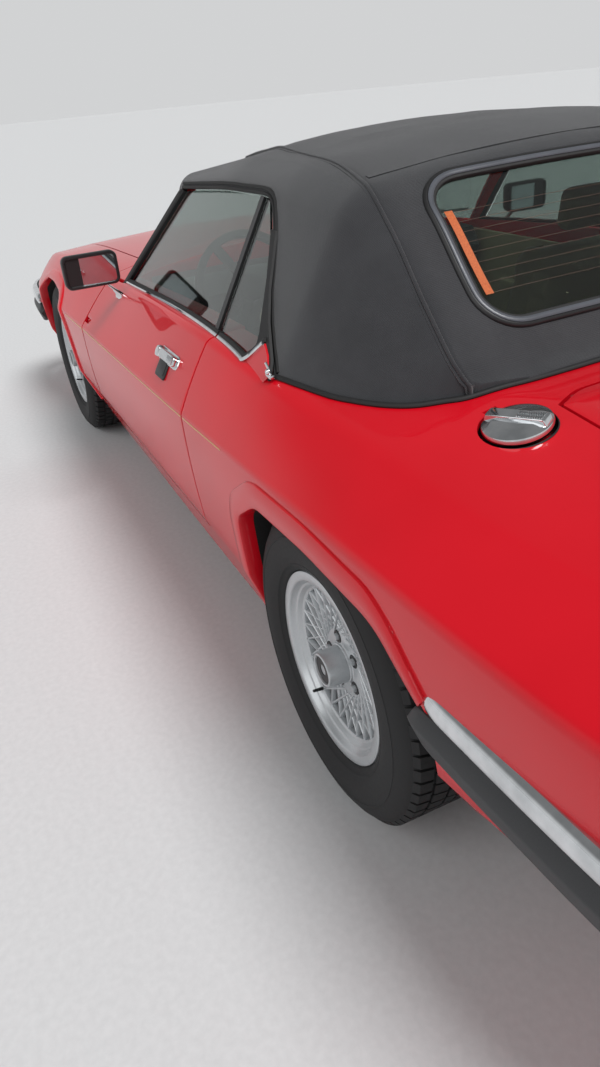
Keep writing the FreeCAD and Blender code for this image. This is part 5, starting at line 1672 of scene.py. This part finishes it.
class Screen(bpy.types.Operator):
    """Fits the wipers and the inner mirror"""
    bl_idname = "car.screen"
    bl_label = "Windscreen fittings"

    def execute(self, context):
        foot, head = Vector((628, 0, 852)), Vector((165, 0, 1168))
        up = (head - foot).normalized()
        out = Vector((up.z, 0, -up.x))
        wipers = []
        for y0, y1 in ((360, -120), (-60, -520)):
            pivot = foot + Vector((26 - abs(y0) * 0.12, y0, 6 - abs(y0) * 0.09))
            tip = foot + up * 46 + Vector((-abs(y1) * 0.13, y1, -abs(y1) * 0.035)) + out * 12
            knee = pivot.lerp(tip, 0.45) + out * 12
            wipers.append(rod(9, pivot - Vector((0, 0, 22)), pivot + Vector((0, 0, 8)), 20))
            wipers.append(sweep([pivot, pivot.lerp(knee, 0.5) + out * 4, knee, tip.lerp(knee, 0.3)], out,
                                [(-5, -2), (-4, 2), (4, 2), (5, -2)]))
            along = (tip - pivot).normalized()
            wipers.append(sweep([tip - along * 210 - out * 2, tip - out * 4, tip + along * 150 - out * 12], out,
                                [(-3, -5), (-3.5, 3), (3.5, 3), (3, -5)]))
        place("wipers", joined(*wipers), "trim", "body")
        centre = head + Vector((-66, 0, -64))
        shell = block(centre.x - 14, centre.x + 12, -118, 118, centre.z - 28, centre.z + 28, 10)
        stem = rod(6, centre, centre + Vector((62, 0, 36)), 12)
        place("inner_mirror", joined(shell, stem), "trim", "body")
        glass = block(centre.x - 15.4, centre.x - 13.4, -110, 110, centre.z - 21, centre.z + 21)
        place("inner_mirror_glass", glass, "mirror", "body")
        return {"FINISHED"}


class CadFinishes(bpy.types.Operator):
    """Gives the pieces that stay as drawn their finishes"""
    bl_idname = "car.cad_finishes"
    bl_label = "Finishes of the kept pieces"

    def execute(self, context):
        chosen = {
            "trim": ["division_bars", "grille", "rear_shelf", "dashboard", "steering_wheel"],
            "glass": ["door_glass_left", "door_glass_right", "quarter_glass", "windscreen"],
            "paint": ["windscreen_frame", "door_post_left", "door_post_right"],
            "underseal": ["front_subframe", "chassis_rails", "boot_floor"],
            "carpet": ["floor_pan", "tunnel", "firewall", "rear_bulkhead"],
            "casting": ["engine", "driveline", "rear_axle", "knuckle_left", "knuckle_right"],
            "pipe": ["exhaust"],
        }
        for finish, names in chosen.items():
            for name in names:
                if name in NODES:
                    slots = NODES[name].data.materials
                    if not slots:
                        slots.append(material(finish))
                    for i in range(len(slots)):
                        slots[i] = material(finish)
        return {"FINISHED"}


class Stage(bpy.types.Operator):
    """Sets up the floor, the lights and the camera"""
    bl_idname = "car.stage"
    bl_label = "Stage"

    def execute(self, context):
        scene = context.scene
        setup = scene.car_stage
        scene.view_settings.view_transform = "Standard"
        # Painted studio floor: matt pale grey with faint clouds, so that the car's shadow lies on a quiet ground.
        floor_shade, tree, shader, where = base("Matt studio floor", Roughness=0.85)
        tinted(tree, shader, cloudy(tree, where, 60, 5), "#CFD0D1", setup.backdrop)
        bm = bmesh.new()
        bmesh.ops.create_circle(bm, cap_ends=True, segments=96, radius=60)
        mesh = mesh_of(bm, "studio_floor")
        mesh.materials.append(floor_shade)
        linked("studio_floor", mesh)

        world = bpy.data.worlds.new("Studio")
        scene.world = world
        world.use_nodes = True
        tree = world.node_tree
        sky = tree.nodes["Background"]
        sky.inputs["Color"].default_value = linear(setup.backdrop)
        # Pale walls at eye level under a dimmer ceiling
        up = add(tree, "ShaderNodeSeparateXYZ", {"Vector": add(tree, "ShaderNodeTexCoord").outputs["Generated"]})
        fade = add(tree, "ShaderNodeMapRange", {"Value": up.outputs["Z"], "From Min": 0.12, "From Max": 0.55,
                                                "To Min": setup.wall_light, "To Max": setup.ceiling_light},
                   interpolation_type="SMOOTHSTEP")
        tree.links.new(fade.outputs["Result"], sky.inputs["Strength"])
        for name, spot, spread, strength in (("key", (-0.55, -0.22, 1), 24, setup.key_light),
                                             ("fill", (-0.3, 1, 0.8), 50, setup.fill_light)):
            lamp = bpy.data.lights.new(name, "SUN")
            lamp.angle = math.radians(spread)
            lamp.energy = strength
            linked(name, lamp).rotation_euler = (-Vector(spot)).to_track_quat("-Z", "Y").to_euler()

        data = bpy.data.cameras.new("camera")
        data.lens = setup.lens
        data.sensor_width = 36
        data.clip_end = 200
        camera = linked("camera", data)
        camera.location = setup.camera
        camera.rotation_euler = Euler(setup.turn)
        scene.camera = camera
        return {"FINISHED"}


STEPS = (Stage, PaintedBody, ArchFlares, FabricTop, RearWindow, RoadWheels, Bumpers, SideTrim, DoorFittings,
         FillerFlap, Seats, Lamps, Screen, CadFinishes)


class CarPanel(bpy.types.Panel):
    """Sidebar with every setting, and a button for each group of pieces"""
    bl_idname = "VIEW3D_PT_car"
    bl_label = "Convertible car"
    bl_space_type = "VIEW_3D"
    bl_region_type = "UI"
    bl_category = "Car"

    def draw(self, context):
        for group in (context.scene.car_sizes, context.scene.car_colours, context.scene.car_stage):
            box = self.layout.box()
            for key in group.__annotations__:
                box.prop(group, key)
        for step in STEPS:
            self.layout.operator(step.bl_idname)


CLASSES = (CarSizes, CarColours, CarStage) + STEPS + (CarPanel,)


def register():
    for entry in CLASSES:
        bpy.utils.register_class(entry)
    bpy.types.Scene.car_sizes = PointerProperty(type=CarSizes)
    bpy.types.Scene.car_colours = PointerProperty(type=CarColours)
    bpy.types.Scene.car_stage = PointerProperty(type=CarStage)


def unregister():
    del bpy.types.Scene.car_stage
    del bpy.types.Scene.car_colours
    del bpy.types.Scene.car_sizes
    for entry in reversed(CLASSES):
        bpy.utils.unregister_class(entry)


def main():
    """Registers the classes, takes the colour settings and runs every step in order."""
    register()
    colours = bpy.context.scene.car_colours
    for key in colours.__annotations__:
        COLOURS[key] = getattr(colours, key)
    for step in STEPS:
        area, name = step.bl_idname.split(".")
        getattr(getattr(bpy.ops, area), name)()


if __name__ == "__main__":
    main()
